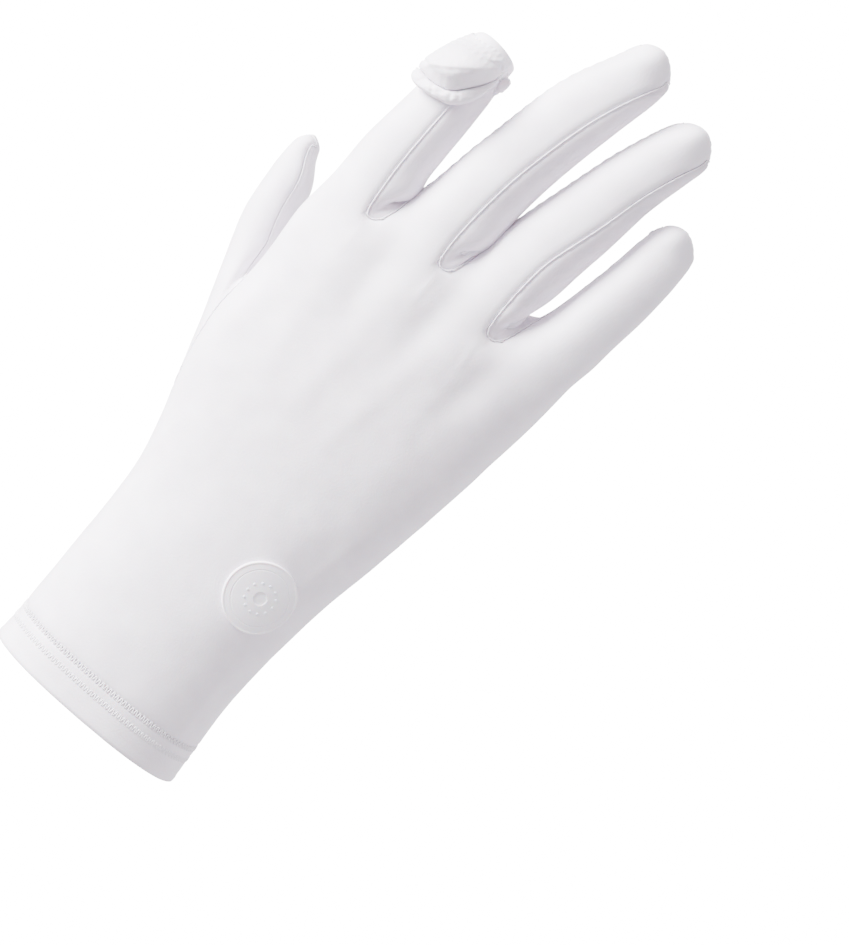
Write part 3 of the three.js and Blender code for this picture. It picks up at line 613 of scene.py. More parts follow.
def add_roots(cage):
    """The ring where the fingers start, with a strip across each web."""
    def root(column, on_palm):
        side = "palm" if on_palm else "back"
        known = any(row["column"] == column for row in ROOT_SIDES)
        x, y, z = (along(ROOT_SIDES, "column", f"{side}_{axis}", column) for axis in "xyz")
        if not known:
            y = body_point(turn_at(x, ROOT_HEIGHT, on_palm), ROOT_HEIGHT)[1]
        return cage.add((x, y, z))

    back = [root(column, False) for column in range(ACROSS + 1)]
    palm = [root(column, True) for column in range(ACROSS + 1)]
    middles = {}
    for row in ROOT_SIDES:
        column = row["column"]
        x, y = (mix(row[f"back_{axis}"], row[f"palm_{axis}"], 0.5) for axis in "xy")
        middles[column] = cage.add((x + WEB_SHIFT[column], y, row["middle_z"]))
    cage.soft = back + palm + list(middles.values())
    return back, palm, middles


def add_finger(cage, number, sections, tip, back, palm, middles):
    first = 3 * number
    lower = ([back[c] for c in span(first, first + 2)] + [middles[first + 2]]
             + [palm[c] for c in span(first + 2, first)] + [middles[first]])
    little_side = FOURCHETTES[number] if number < 3 else "back_panel"
    thumb_side = FOURCHETTES[number - 1] if number > 0 else "back_panel"
    around = ["back_panel"] * 2 + [little_side] * 2 + ["finger_palm_panel"] * 2 + [thumb_side] * 2
    stations = [centre_of(s) for s in sections] + ([np.array(tip)] if tip else [])

    def angles_at(seam, palm):
        angles = [mix(THUMB_WARD_SEAM, seam, step / 2) for step in range(3)]
        angles.append(mix(seam, palm, 0.5))
        angles += [mix(palm, PALM_SEAMS[1], step / 2) for step in range(3)]
        angles.append(mix(PALM_SEAMS[1], THUMB_WARD_SEAM + 360, 0.5))
        return angles

    for i, section in enumerate(sections):
        ahead = direction(stations[max(i - 1, 0)], stations[min(i + 1, len(stations) - 1)])
        angles = angles_at(section["seam"], PALM_SEAMS[0])
        ring = [cage.add(p) for p in section_ring(stations[i], ahead, section, angles)]
        is_rim = tip is None and i == len(sections) - 1
        cage.band(lower, ring, lambda column: "index_tip_rim" if is_rim else around[column])
        lower = ring
    if tip:
        angles = angles_at(mix(section["seam"], TIP_SEAMS[0], 0.7), TIP_SEAMS[1])
        narrowed = section_ring(stations[-2], ahead, section, angles)
        close_tip(cage, lower, narrowed, 2, np.array(tip), lambda column: around[column],
                  lambda j: "back_panel" if j == 0 else "finger_palm_panel")


def add_thumb(cage, root):
    angles = [-42 + 30 * i for i in range(12)]
    lower = root

    def panel(column):
        return "thumb_back" if column < 3 or column > 8 else "thumb_front"

    stations = [centre_of(s) for s in THUMB] + [np.array(THUMB_TIP)]
    for i, section in enumerate(THUMB):
        ahead = direction(stations[max(i - 1, 0)], stations[i + 1])
        ring = section_ring(stations[i], ahead, section, angles, THUMB_LEAN)
        if i == 0:
            halfway = []
            for angle, p, q in zip(angles, ring, lower):
                lift = THUMB_CROTCH_LIFT * (1 + sin_cos(angle)[0]) / 2
                halfway.append(cage.add(mix(p, cage.points[q], 0.5) + np.array([0, lift, lift])))
            cage.band(lower, halfway, panel)
            lower = halfway
        added = [cage.add(p) for p in ring]
        cage.band(lower, added, panel)
        lower = added
    close_tip(cage, lower, [cage.points[i] for i in lower], 3, np.array(THUMB_TIP), panel,
              lambda j: "thumb_back" if j == 0 else "thumb_front")


def glove_cage():
    cage = Cage()
    places = body_places()
    grid = {}
    for spot, place in places.items():
        if not is_cut_out(*spot):
            grid[spot] = cage.add(body_point(*place))
    back, palm, middles = add_roots(cage)
    root_ring = back + [middles[ACROSS]] + palm[::-1] + [middles[0]]
    rings = [[grid.get((r, c)) for c in range(AROUND)] for r in range(len(RINGS))] + [root_ring]
    for r in range(len(RINGS)):
        cage.band(rings[r], rings[r + 1], lambda column: body_panel(r, column))
    for k, name in enumerate(FOURCHETTES):
        left, right = 3 * k + 2, 3 * k + 3
        cage.face(name, back[left], back[right], middles[right], middles[left])
        cage.face(name, middles[left], middles[right], palm[right], palm[left])
    for number, (sections, tip) in enumerate(FINGERS.values()):
        add_finger(cage, number, sections, tip, back, palm, middles)
    add_thumb(cage, [grid[spot] for spot in THUMB_ROOT])
    return cage


# Rounding: Catmull-Clark, with open edges rounded along themselves only

def edges_of(faces):
    """Each edge once, the edge numbers of every face, and how many faces each edge has."""
    ends = np.stack([faces, np.roll(faces, -1, axis=1)], axis=2).reshape(-1, 2)
    edges, number, count = np.unique(
        np.sort(ends, axis=1), axis=0, return_inverse=True, return_counts=True)
    return edges, number.reshape(faces.shape), count


def rounded(points, faces):
    edges, number, count = edges_of(faces)
    total = len(points)
    centres = points[faces].mean(axis=1)
    middles = points[edges].mean(axis=1)
    beside = np.zeros((len(edges), 3))
    np.add.at(beside, number.ravel(), np.repeat(centres, 4, axis=0))
    is_open = (count == 1)[:, None]
    edge_points = np.where(is_open, middles, (2 * middles + beside) / 4)

    def gathered(index, values):
        out = np.zeros((total, values.shape[1]))
        np.add.at(out, index, values)
        return out

    def at_ends(edges, values):
        return gathered(edges[:, 0], values) + gathered(edges[:, 1], values)

    valence = at_ends(edges, np.ones((len(edges), 1)))
    edge_sum = at_ends(edges, middles)
    rim = edges[count == 1]
    rim_count = at_ends(rim, np.ones((len(rim), 1)))
    rim_sum = at_ends(rim, middles[count == 1])
    face_count = gathered(faces.ravel(), np.ones((faces.size, 1)))
    face_sum = gathered(faces.ravel(), np.repeat(centres, 4, axis=0))
    valence, face_count = np.maximum(valence, 1), np.maximum(face_count, 1)
    inner = (face_sum / face_count + 2 * edge_sum / valence + (valence - 3) * points) / valence
    outer = (rim_sum / np.maximum(rim_count, 1) + points) / 2
    moved = np.where(rim_count > 0, outer, inner)
    at_centre = total + np.arange(len(faces))
    at_edge = total + len(faces) + number
    corners = [np.stack([faces[:, i], at_edge[:, i], at_centre, at_edge[:, i - 1]], axis=1)
               for i in range(4)]
    return np.vstack([moved, centres, edge_points]), np.stack(corners, axis=1).reshape(-1, 4)


def skin_of(cage):
    """The rounded skin: its points, its faces and the panel number of each face."""
    points, faces = np.array(cage.points), np.array(cage.faces)
    names = sorted(set(cage.panels))
    panels = np.array([names.index(p) for p in cage.panels])
    wanted = points.copy()
    firm = np.ones(len(points), bool)
    firm[cage.soft] = False
    for _ in range(FIT_ROUNDS):
        now, halved = points, faces
        for _ in range(2):
            now, halved = rounded(now, halved)
        points[firm] += (wanted - now[:len(points)])[firm] * 0.9
    for _ in range(ROUNDS):
        points, faces = rounded(points, faces)
        panels = np.repeat(panels, 4)
    used = np.unique(faces)
    return points[used], np.searchsorted(used, faces), panels, names


def normals_of(points, faces):
    a, b, c, d = (points[faces[:, i]] for i in range(4))
    face_normals = np.cross(c - a, d - b)
    out = np.zeros_like(points)
    np.add.at(out, faces.ravel(), np.repeat(face_normals, 4, axis=0))
    return unit(out)


# Cloth surface: seams, relief and folds

def tree_of(points):
    tree = KDTree(len(points))
    for i, point in enumerate(points):
        tree.insert(point, i)
    tree.balance()
    return tree


def distance_to(points, targets):
    tree = tree_of(targets)
    return np.array([tree.find(p)[2] for p in points])


def chained(edges):
    """Sorts loose edges into lines of point numbers."""
    near = {}
    for a, b in edges:
        near.setdefault(int(a), []).append(int(b))
        near.setdefault(int(b), []).append(int(a))
    left = {frozenset((int(a), int(b))) for a, b in edges}
    lines = []
    starts = sorted(near, key=lambda p: (len(near[p]) == 2, p))
    for start in starts:
        while True:
            line = [start]
            while True:
                ahead = [q for q in near[line[-1]] if frozenset((line[-1], q)) in left]
                if not ahead:
                    break
                left.discard(frozenset((line[-1], ahead[0])))
                line.append(ahead[0])
                if len(near[line[-1]]) != 2:
                    break
            if len(line) < 2:
                break
            lines.append(line)
    return lines


def mound(points, normals, row):
    side = -1 if row["side"] == "back" else 1
    facing = np.clip(normals[:, 1] * side * 1.6, 0, 1)
    s, c = sin_cos(row["lean"])
    dx, dz = points[:, 0] - row["x"], points[:, 2] - row["z"]
    shape = bell(dx * c - dz * s, row["across"]) * bell(dx * s + dz * c, row["along"])
    return row["height"] * facing * shape


def slackness(points, size, seed):
    """Smooth uneven values between about -1 and 1, with lumps of this size."""
    return np.array([noise.noise(Vector(p) / size + Vector((seed, 0, 0))) for p in points])


def seen_on(surface, x, z):
    """The spot of a surface that is seen at this place from the back, from above by the elevation."""
    start = np.array([x, 0, 0]) + z * np.array([0, math.sin(ELEVATION), math.cos(ELEVATION)])
    ahead = np.array([0, math.cos(ELEVATION), -math.sin(ELEVATION)])
    spot = surface.ray_cast(Vector(start - ahead * 200), Vector(ahead))[0]
    return None if spot is None else np.array(spot)


class Skin:
    """The glove's whole cloth surface before it is cut into panels."""

    def __init__(self):
        self.base, self.faces, self.panels, self.names = skin_of(glove_cage())
        edges, number, count = edges_of(self.faces)
        face_of = np.repeat(np.arange(len(self.faces)), 4)
        order = np.argsort(number.ravel(), kind="stable")
        first = face_of[order][np.concatenate([[0], np.cumsum(count)[:-1]])]
        last = face_of[order][np.cumsum(count) - 1]
        differs = (self.panels[first] != self.panels[last]) & (count == 2)
        self.seam_edges = edges[differs]
        self.seam_panels = np.stack([self.panels[first], self.panels[last]], axis=1)[differs]
        self.open_edges = edges[count == 1]
        self.base_normals = normals_of(self.base, self.faces)
        self.points = self.base + self.base_normals * self.heights()[:, None]
        self.normals = normals_of(self.points, self.faces)
        self.tree = BVHTree.FromPolygons(self.points.tolist(), self.faces.tolist())

    def raised_seams(self):
        """The seams' edges, but for the cuff hem's, which is stitched flat and has no ridge."""
        hem = self.names.index("cuff_hem")
        return self.seam_edges[(self.seam_panels != hem).all(axis=1)]

    def heights(self):
        base, normals = self.base, self.base_normals
        sewn = self.raised_seams()
        seam_points = np.vstack([base[sewn[:, 0]], base[sewn].mean(axis=1)])
        near = distance_to(base, seam_points)
        height = SEAM_ROLL * bell(near - SEAM_ROLL_AWAY, SEAM_ROLL_WIDTH)
        height -= SEAM_DEPTH * bell(near, SEAM_DIP_WIDTH)
        cut = distance_to(base, base[np.unique(self.open_edges)])
        height += BINDING_RISE / (1 + np.exp((cut - BINDING) / 0.25))
        height -= STITCH_GROOVE * bell(cut - BINDING_GROOVE, 0.5)
        for row in RELIEF + FOLDS:
            height += mound(base, normals, row)
        for z in HEM_ROWS:
            height -= STITCH_GROOVE * bell(base[:, 2] - z, HEM_GROOVE_WIDTH)
        surface = BVHTree.FromPolygons(base.tolist(), self.faces.tolist())
        for line, width, rise in FOLD_LINES:
            laid = [seen_on(surface, x, z) for x, z in smooth_line(line, 30)]
            laid = [spot for spot in laid if spot is not None]
            height += rise * bell(distance_to(base, laid), width)
        for row in PINCHES:
            facing = np.clip(normals[:, 0] * row["facing"] * 1.5, 0, 1)
            beside = np.clip((PINCH_DEPTH - np.abs(base[:, 1])) / 4, 0, 1)
            beside *= bell(base[:, 0] - row["x"], PINCH_WIDTH)
            height += row["height"] * facing * beside * bell(base[:, 2] - row["z"], row["along"])
        for most, lump, seed in SLACK:
            height += most * slackness(base, lump, seed)
        return height


# Meshes

def add_mesh(name, points, faces, material, smooth=True):
    """A mesh object from points in millimetres."""
    mesh = bpy.data.meshes.new(name)
    mesh.from_pydata((np.asarray(points) * MM).tolist(), [], [list(map(int, f)) for f in faces])
    mesh.update()
    mesh.polygons.foreach_set("use_smooth", [smooth] * len(mesh.polygons))
    mesh.materials.append(material)
    piece = bpy.data.objects.new(name, mesh)
    bpy.context.scene.collection.objects.link(piece)
    return piece


def inward_of(points, faces):
    """For each point, the sum of the ways across its faces. At an edge it points into the cloth."""
    inward = np.zeros_like(points)
    for i in range(4):
        across = points[faces[:, (i + 2) % 4]] - points[faces[:, i]]
        np.add.at(inward, faces[:, i], unit(across))
    return inward


def cloth_panel(skin, panel, outside, inside):
    """One sewn panel: pulled back from its edges, with a rounded cloth wall."""
    faces = skin.faces[skin.panels == skin.names.index(panel)]
    used = np.unique(faces)
    faces = np.searchsorted(used, faces)
    base, normals = skin.points[used], skin.normals[used]
    _, number, count = edges_of(faces)
    rim = np.stack([faces, np.roll(faces, -1, axis=1)], axis=2)[count[number] == 1]
    on_rim = np.unique(rim)
    at_edge = np.zeros((len(base), 1), bool)
    at_edge[on_rim] = True
    step = np.where(at_edge, flat_on(inward_of(base, faces), normals), 0)
    set_back = step * (SEAM_GAP / 2 + EDGE_SET_BACK)
    dip = normals * np.where(at_edge, EDGE_ROUND, 0)
    outer = base + normals * outside + set_back - dip
    inner = base - normals * inside + set_back + dip
    lip = base + normals * ((outside - inside) / 2) + step * (SEAM_GAP / 2)
    n = len(base)
    lip_number = {int(p): 2 * n + k for k, p in enumerate(on_rim)}
    quads = [tuple(f) for f in faces] + [tuple(f[::-1] + n) for f in faces]
    for a, b in rim.tolist():
        quads.append((b, a, lip_number[a], lip_number[b]))
        quads.append((lip_number[b], lip_number[a], a + n, b + n))
    return np.vstack([outer, inner, lip[on_rim]]), quads


# Stitches, dots and other small repeated things

def bead_shape(sides=6, rings=4):
    """A long bead, one unit from its middle to its ends and sides."""
    points = [(-1.0, 0.0, 0.0)]
    for i in range(1, rings):
        angle = math.pi * i / rings
        radius = math.sin(angle) ** 0.6
        for j in range(sides):
            turn = 2 * math.pi * j / sides
            points.append((-math.cos(angle), radius * math.cos(turn), radius * math.sin(turn)))
    points.append((1.0, 0.0, 0.0))
    faces = [(0, 1 + (j + 1) % sides, 1 + j) for j in range(sides)]
    for i in range(rings - 2):
        faces += tube_faces(1 + i * sides, 1 + (i + 1) * sides, sides)
    low, end = 1 + (rings - 2) * sides, len(points) - 1
    faces += [(low + j, low + (j + 1) % sides, end) for j in range(sides)]
    return np.array(points), faces


def ring_shape(radius, bead, sides=12, turns=5):
    """A low ring that lies flat, with its third axis up."""
    points, faces = [], []
    for i in range(sides):
        for j in range(turns):
            a, b = 2 * math.pi * i / sides, 2 * math.pi * j / turns
            r = radius + bead * math.cos(b)
            points.append((r * math.cos(a), r * math.sin(a), bead * 0.8 * math.sin(b)))
            here, there = i * turns, (i + 1) % sides * turns
            faces.append((here + j, there + j, there + (j + 1) % turns, here + (j + 1) % turns))
    return np.array(points), faces


def repeated(shape, places, size=(1, 1, 1)):
    """One joined mesh with the shape at each place: (middle, ahead, up)."""
    points, faces = shape
    a, b, c = np.hsplit(points * np.array(size), 3)
    return joined([(middle + a * ahead + b * np.cross(up, ahead) + c * up, faces)
                   for middle, ahead, up in places])


def on_skin(skin, line, lift):
    """The line laid on the cloth, with the cloth's normal at each point."""
    found = [skin.tree.find_nearest(Vector(p)) for p in line]
    normals = np.array([f[1] for f in found])
    return np.array([f[0] for f in found]) + normals * lift, normals


def stitch_places(skin, line, pitch, lift, closed=False):
    length = np.linalg.norm(np.diff(line, axis=0), axis=1).sum()
    count = max(2, round(length / pitch) + 1)
    laid, normals = on_skin(skin, evenly(line, count), lift)
    ahead = flat_on(np.gradient(laid, axis=0), normals)
    last = len(laid) - 1 if closed else len(laid)
    return list(zip(laid[:last], ahead[:last], normals[:last]))


def is_hidden_seam(spot):
    """True on a finger's seam on the thumb's side, which is stitched from the inside."""
    found = [at_height(sections, spot[2], "x", "half_width") for sections, _ in FINGERS.values()]
    near = min(abs(spot[0] - (x - half_width)) for x, half_width in found)
    return spot[2] > HIDDEN_SEAMS_FROM and near < 1.6


def seam_stitches(skin):
    places = []
    for line in chained(skin.raised_seams()):
        if len(line) > 16:
            places += stitch_places(skin, skin.points[line], SEAM_PITCH, 0.15)
    places = [p for p in places if not is_hidden_seam(p[0])]
    return repeated(bead_shape(), places, SEAM_STITCH)


def seam_edges(skin, sides=6):
    """The rolled edge on every panel seam, as one joined mesh of tubes."""
    turns = np.linspace(0, 2 * math.pi, sides, endpoint=False)[:, None]
    tubes = []
    for line in chained(skin.raised_seams()):
        if len(line) < 3:
            continue
        path = skin.points[line]
        for _ in range(2):
            path[1:-1] = (path[:-2] + 2 * path[1:-1] + path[2:]) / 4
        laid, up = on_skin(skin, path, 0.04)
        ahead = unit(np.gradient(laid, axis=0))
        side = unit(np.cross(ahead, up))
        up = np.cross(side, ahead)
        rings = [p + SEAM_EDGE * (s * np.cos(turns) + u * np.sin(turns))
                 for p, s, u in zip(laid, side, up)]
        last = (len(laid) - 1) * sides
        faces = []
        for low in range(0, last, sides):
            faces += tube_faces(low, low + sides, sides)
        faces += [tuple(range(sides - 1, -1, -1)), tuple(range(last, last + sides))]
        tubes.append((np.vstack(rings), faces))
    return joined(tubes)


def round_the_cuff(skin, z):
    """A line round the cuff at one height."""
    line = []
    for turn in np.linspace(0, 360, 181):
        outward = body_point(turn, z)
        away = np.array([outward[0] * 2, outward[1] * 2, z])
        hit = skin.tree.ray_cast(Vector(away), Vector((-away[0], -away[1], 0)).normalized())
        line.append(np.array(hit[0]))
    return np.array(line)


def hem_stitches(skin):
    """Two rows of coverstitch: small loops that lean to one side and the other in turn."""
    places = []
    for z in HEM_ROWS:
        line = round_the_cuff(skin, z)
        row = stitch_places(skin, line, HEM_PITCH / 2, HEM_PROUD + 0.04, closed=True)
        for k, (middle, ahead, up) in enumerate(row):
            s, c = sin_cos(90 + (HEM_LEAN if k % 2 else -HEM_LEAN))
            places.append((middle, ahead * c + np.cross(up, ahead) * s, up))
    return repeated(bead_shape(), places, HEM_STITCH)


def edge_line(skin, panels):
    """The longest open edge of these panels, with the way into the cloth at each point."""
    wanted = {skin.names.index(p) for p in panels}
    of_point = {}
    for face, panel in zip(skin.faces, skin.panels):
        for p in face:
            of_point.setdefault(int(p), set()).add(int(panel))
    kept = [edge for edge in skin.open_edges if all(of_point[int(p)] & wanted for p in edge)]
    line = max(chained(kept), key=len)
    inward = inward_of(skin.points, skin.faces)
    return skin.points[line], flat_on(inward[line], skin.normals[line])


def opening_stitches(skin):
    line, inward = edge_line(skin, ["lower_palm_panel", "finger_palm_panel"])
    places = []
    for away in OPENING_ROWS:
        places += stitch_places(skin, line + inward * away, OPENING_PITCH, 0.05)
    return repeated(bead_shape(), places, OPENING_STITCH)


def rim_stitches(skin):
    line, inward = edge_line(skin, ["index_tip_rim"])
    places = stitch_places(skin, line + inward * RIM_ROW, RIM_PITCH, HEM_PROUD + 0.04)
    return repeated(bead_shape(), places, RIM_STITCH)


def grip_dots(skin):
    """Staggered rings over the palm side of the fingers."""
    palm = {skin.names.index(n) for n in ("finger_palm_panel", "index_tip_rim")}
    rim = skin.names.index("index_tip_rim")
    edges = [skin.points[np.unique(ends)] for ends in (skin.seam_edges, skin.open_edges)]
    edge_tree = tree_of(np.vstack(edges))
    places = []
    row_height = DOT_PITCH * sin_cos(60)[0]
    for k, z in enumerate(np.arange(*DOT_FIELD_Z, row_height)):
        for x in np.arange(*DOT_FIELD_X, DOT_PITCH) + (DOT_PITCH / 2 if k % 2 else 0):
            point, normal, face, _ = skin.tree.ray_cast(Vector((x, 60, z)), Vector((0, -1, 0)))
            if point is None or skin.panels[face] not in palm or normal.y < 0.45:
                continue
            on_rim = skin.panels[face] == rim
            if edge_tree.find(point)[2] < (DOT_CLEAR_ON_RIM if on_rim else DOT_CLEAR):
                continue
            up = np.array(normal)
            ahead = unit(np.cross(up, (1, 0, 0)))
            lift = HEM_PROUD if on_rim else 0
            places.append((np.array(point) + up * (0.06 + lift), ahead, up))
    return repeated(ring_shape(DOT_RADIUS, DOT_BEAD), places)


# Fingertip hood: the index finger's cap, slipped off the tip and turned down on the finger's back.
# It is laid round the finger, with its height set by lines that run over it as seen from the back.

HOOD_REACH = rows(("turn", "low_z", "height"), [
    (-118, 189.5, 0.2),
    (-100, 186.8, 1.2),
    (-85, 184.6, 1.9),
    (-71, 182.2, 2.8),
    (-58, 181.0, 4.2),
    (-46, 180.8, 5.6),
    (-22, 181.6, 7.4),
    (-4, 182.4, 8.0),
    (9, 183.2, 8.0),
    (25, 185.4, 7.4),
    (37, 188.2, 6.6),
    (46, 191.4, 5.6),
    (52, 194.2, 4.8),
])
HOOD_MOUTH = [(-45.5, 181.6), (-43.4, 182.3), (-39.8, 181.7), (-37.3, 181.8), (-34.1, 182.6),
              (-31.9, 184.4), (-29.8, 186.9), (-28.0, 189.4), (-26.4, 192.4), (-25.6, 196.0)]
HOOD_RIDGE = [(-43.4, 183.4), (-40.4, 185.2), (-37.3, 187.3),
              (-33.0, 190.6), (-29.4, 193.2), (-26.8, 194.7)]
HOOD_HOLLOW = [(-40.0, 183.9), (-36.2, 184.9), (-33.2, 186.9), (-30.6, 189.7), (-28.2, 192.3)]
HOOD_TUCK = [(-31.0, 194.8), (-29.0, 195.5), (-27.0, 195.9), (-24.8, 195.4)]
HOOD_OVER = [(-31.0, 195.7), (-28.6, 196.7), (-26.6, 197.2), (-24.4, 197.0)]
HOOD_PLEATS = [
    ([(-44.4, 184.6), (-42.6, 184.2)], 0.5),
    ([(-43.9, 180.9), (-41.6, 181.4)], 0.45),
    ([(-41.0, 179.1), (-39.8, 180.9)], 0.25),
    ([(-36.4, 178.8), (-37.4, 180.8)], 0.15),
    ([(-31.2, 180.2), (-32.4, 182.0)], 0.15),
]
HOOD_LIP = 0.45          # its rim ends this far short of the finger's rim
HOOD_ARCH = 3.2          # and rises by this much over the finger's back
HOOD_ROUND = 8.6         # radius that turns degrees round the finger into millimetres
HOOD_CREASE = 2.3        # depth of the mouth's crease
HOOD_SAG = 1.1           # how far the fold hangs over the crease
HOOD_DOT_ROW = 1.55      # the grip print inside the hood's rim
HOOD_DOT_PITCH = 1.9
HOOD_DOT = 0.24
HOOD_FIT_ROUNDS = 4      # the lines are as seen, so the height is found by nearing

KNOT_X, KNOT_Z = -24.2, 191.8
KNOT_SIZE = (3.3, 1.5, 1.6)
KNOT_AHEAD, KNOT_UP = (0.25, 0.1, 1), (0.5, -0.85, 0)
KNOT_LUMP = 0.6
KNOT_SEED = 4            # without a seed its lumps would change from run to run


def to_line(x, z, line):
    """Distance from each spot to a line of spots, above zero on the line's left side."""
    spots = np.stack([x, z], axis=-1)[..., None, :]
    start, end = np.array(line[:-1]), np.array(line[1:])
    ahead = end - start
    t = np.clip(((spots - start) * ahead).sum(-1) / (ahead ** 2).sum(-1), 0, 1)
    away = spots - (start + t[..., None] * ahead)
    far = np.linalg.norm(away, axis=-1)
    nearest = far.argmin(-1)[..., None]
    side = ahead[:, 0] * away[..., 1] - ahead[:, 1] * away[..., 0]
    side, far = (np.take_along_axis(values, nearest, -1)[..., 0] for values in (side, far))
    return np.where(side < 0, -1, 1) * far


def softened(values, times):
    """Values on a grid, evened out between neighbours."""
    for _ in range(times):
        p = np.pad(values, 1, mode="edge")
        values = (4 * values + p[:-2, 1:-1] + p[2:, 1:-1] + p[1:-1, :-2] + p[1:-1, 2:]) / 8
    return values


def hood_height(x, z, body, from_edge, from_top):
    """Height over the finger. x and z are as the camera sees them."""
    mouth = to_line(x, z, HOOD_MOUTH)
    ridge = to_line(x, z, HOOD_RIDGE)
    height = mix(np.minimum(body, 4.0), body, eased(np.clip(mouth / 3.6, 0, 1)))
    height += 0.6 * bell(ridge, 2.6)
    height -= 0.4 * bell(to_line(x, z, HOOD_HOLLOW), 1.8) * eased(np.clip((x + 41) / 4, 0, 1))
    crest = bell(ridge, np.where(ridge > 0, 1.3, 0.7))
    height = softened(height, 30) + 0.55 * crest * np.clip((x + 45) / 4, 0, 1)
    shut = np.clip((x + 45.5) / 5, 0.15, 1)
    height -= shut * (HOOD_CREASE * bell(mouth, 0.5) + 0.7 * bell(mouth, 1.2))
    tuck = 0.8 * bell(to_line(x, z, HOOD_OVER), 0.7) - 1.0 * bell(to_line(x, z, HOOD_TUCK), 0.5)
    tuck *= 0.7 * eased(np.clip((x + 31.6) / 2.6, 0, 1)) * np.clip(from_edge, 0, 1)
    for line, depth in HOOD_PLEATS:
        height -= depth * bell(to_line(x, z, line), 0.4)
    height *= np.sqrt(1 - (1 - np.clip(from_edge / 1.7, 0, 1)) ** 2)
    height += 0.4 * bell(from_edge - 0.55, 0.4)
    return height * (1 - np.exp(-(np.maximum(from_top, 0) / 5.4) ** 1.8)) + tuck


def hood_surface(columns, count):
    sections = FINGERS["index"][0]
    turns = np.linspace(HOOD_REACH[0]["turn"], HOOD_REACH[-1]["turn"], columns)
    sin, cos = np.sin(np.radians(turns)), np.cos(np.radians(turns))
    low = np.array([along(HOOD_REACH, "turn", "low_z", t) for t in turns])
    body = np.array([along(HOOD_REACH, "turn", "height", t) for t in turns])
    top = sections[-1]["z"] - HOOD_LIP + HOOD_ARCH * np.maximum(cos, 0) ** 2
    z = low[:, None] + (top - low)[:, None] * np.linspace(0, 1, count)
    x, y = np.zeros_like(z), np.zeros_like(z)
    for i in range(columns):
        for j in range(count):
            middle_x, middle_y, half_width, half_depth = at_height(
                sections, z[i, j], "x", "y", "half_width", "half_depth")
            x[i, j] = middle_x + half_width * sin[i]
            y[i, j] = middle_y - half_depth * cos[i]
    round_finger = np.radians(turns)[:, None] * HOOD_ROUND + np.zeros_like(z)
    edge = np.stack([round_finger[:, 0], low], axis=1)
    edge = np.vstack([edge, [edge[-1] + (0, 1)], [edge[-1] + (0, 9)]])
    from_edge = np.abs(to_line(round_finger, z, edge))
    from_edge = np.minimum(from_edge, round_finger - round_finger[0, 0])
    lean = np.radians(np.where(turns > -30, -30 + (turns + 30) * 0.45, turns))
    away = np.stack([np.sin(lean), -np.cos(lean), 0 * lean], axis=1)[:, None, :]
    start = np.stack([x, y, z], axis=-1)
    wrinkle = slackness(start.reshape(-1, 3), 1.15, 0).reshape(z.shape)
    below_rim = top[:, None] - z
    height = np.full_like(z, 4.0)
    for _ in range(HOOD_FIT_ROUNDS):
        spots = start + away * (HOOD_SEAT + height)[..., None]
        seen_z = spots[..., 2] * math.cos(ELEVATION) + spots[..., 1] * math.sin(ELEVATION)
        height = hood_height(spots[..., 0], seen_z, body[:, None], from_edge, below_rim)
    mouth = to_line(spots[..., 0], seen_z, HOOD_MOUTH)
    height += wrinkle * np.where(mouth < 0, 0.32, 0.12) * np.clip(from_edge, 0, 1)
    row = np.round(below_rim / HOOD_DOT_ROW)
    half = HOOD_DOT_PITCH / 2
    along_row = (round_finger + half * (row % 2)) % HOOD_DOT_PITCH - half
    dots = np.hypot(along_row, below_rim - row * HOOD_DOT_ROW)
    height += HOOD_DOT * bell(dots, 0.45) * (below_rim < 5.4) * (below_rim > 1)
    sag = HOOD_SAG * bell(mouth - 0.8, 0.8) * np.clip((x + 43) / 3, 0, 1)
    sag *= np.clip(from_edge / 2, 0, 1)
    hood = start + away * (HOOD_SEAT + height)[..., None]
    return hood + sag[..., None] * np.array([0.45, 0, -0.85])


def grid_shell(outer, wall):
    """A closed cloth sheet from a grid of points on its outer face."""
    du, dv = np.gradient(outer, axis=0), np.gradient(outer, axis=1)
    inner = outer - unit(np.cross(du, dv)) * wall
    points = np.vstack([outer.reshape(-1, 3), inner.reshape(-1, 3)])
    columns, count = outer.shape[:2]
    n = columns * count
    faces = []
    for i in range(columns - 1):
        for j in range(count - 1):
            a, b = i * count + j, (i + 1) * count + j
            faces.append((a, b, b + 1, a + 1))
            faces.append((a + n + 1, b + n + 1, b + n, a + n))
    number = np.arange(n).reshape(columns, count)
    around = [*number[:, 0], *number[-1, 1:], *number[-2::-1, -1], *number[0, -2:0:-1]]
    for a, b in zip(around, around[1:] + around[:1]):
        faces.append((b, a, a + n, b + n))
    return points, faces


def hood_mesh(skin):
    """The hood, with the small knot of its tuck beside it."""
    place = (seen_on(skin.tree, KNOT_X, KNOT_Z), unit(np.array(KNOT_AHEAD)), np.array(KNOT_UP))
    knot, faces = repeated(bead_shape(14, 12), [place], KNOT_SIZE)
    noise.seed_set(KNOT_SEED)
    knot = knot + KNOT_LUMP * np.array([noise.noise_vector(Vector(p) / 1.3) for p in knot])
    return joined([grid_shell(hood_surface(120, 96), HOOD_WALL), (knot, faces)])


# Badge

# Its section from the edge to the middle: how far in from the edge, and height over its face.
BADGE_PROFILE = [
    (0.2, -0.75), (0, -0.55), (0, -0.15),
    (0.1, 0.098), (0.25, 0.14), (0.45, 0.112), (0.6, 0), (0.75, 0), (1.95, 0),
    (2.1, 0), (2.17, -0.06), (2.3, -0.06), (2.37, 0), (2.5, 0), (5.0, 0),
    (8.0, 0), (8.15, 0), (8.25, -0.15), (8.4, -BADGE_RECESS), (9.2, -BADGE_RECESS),
]


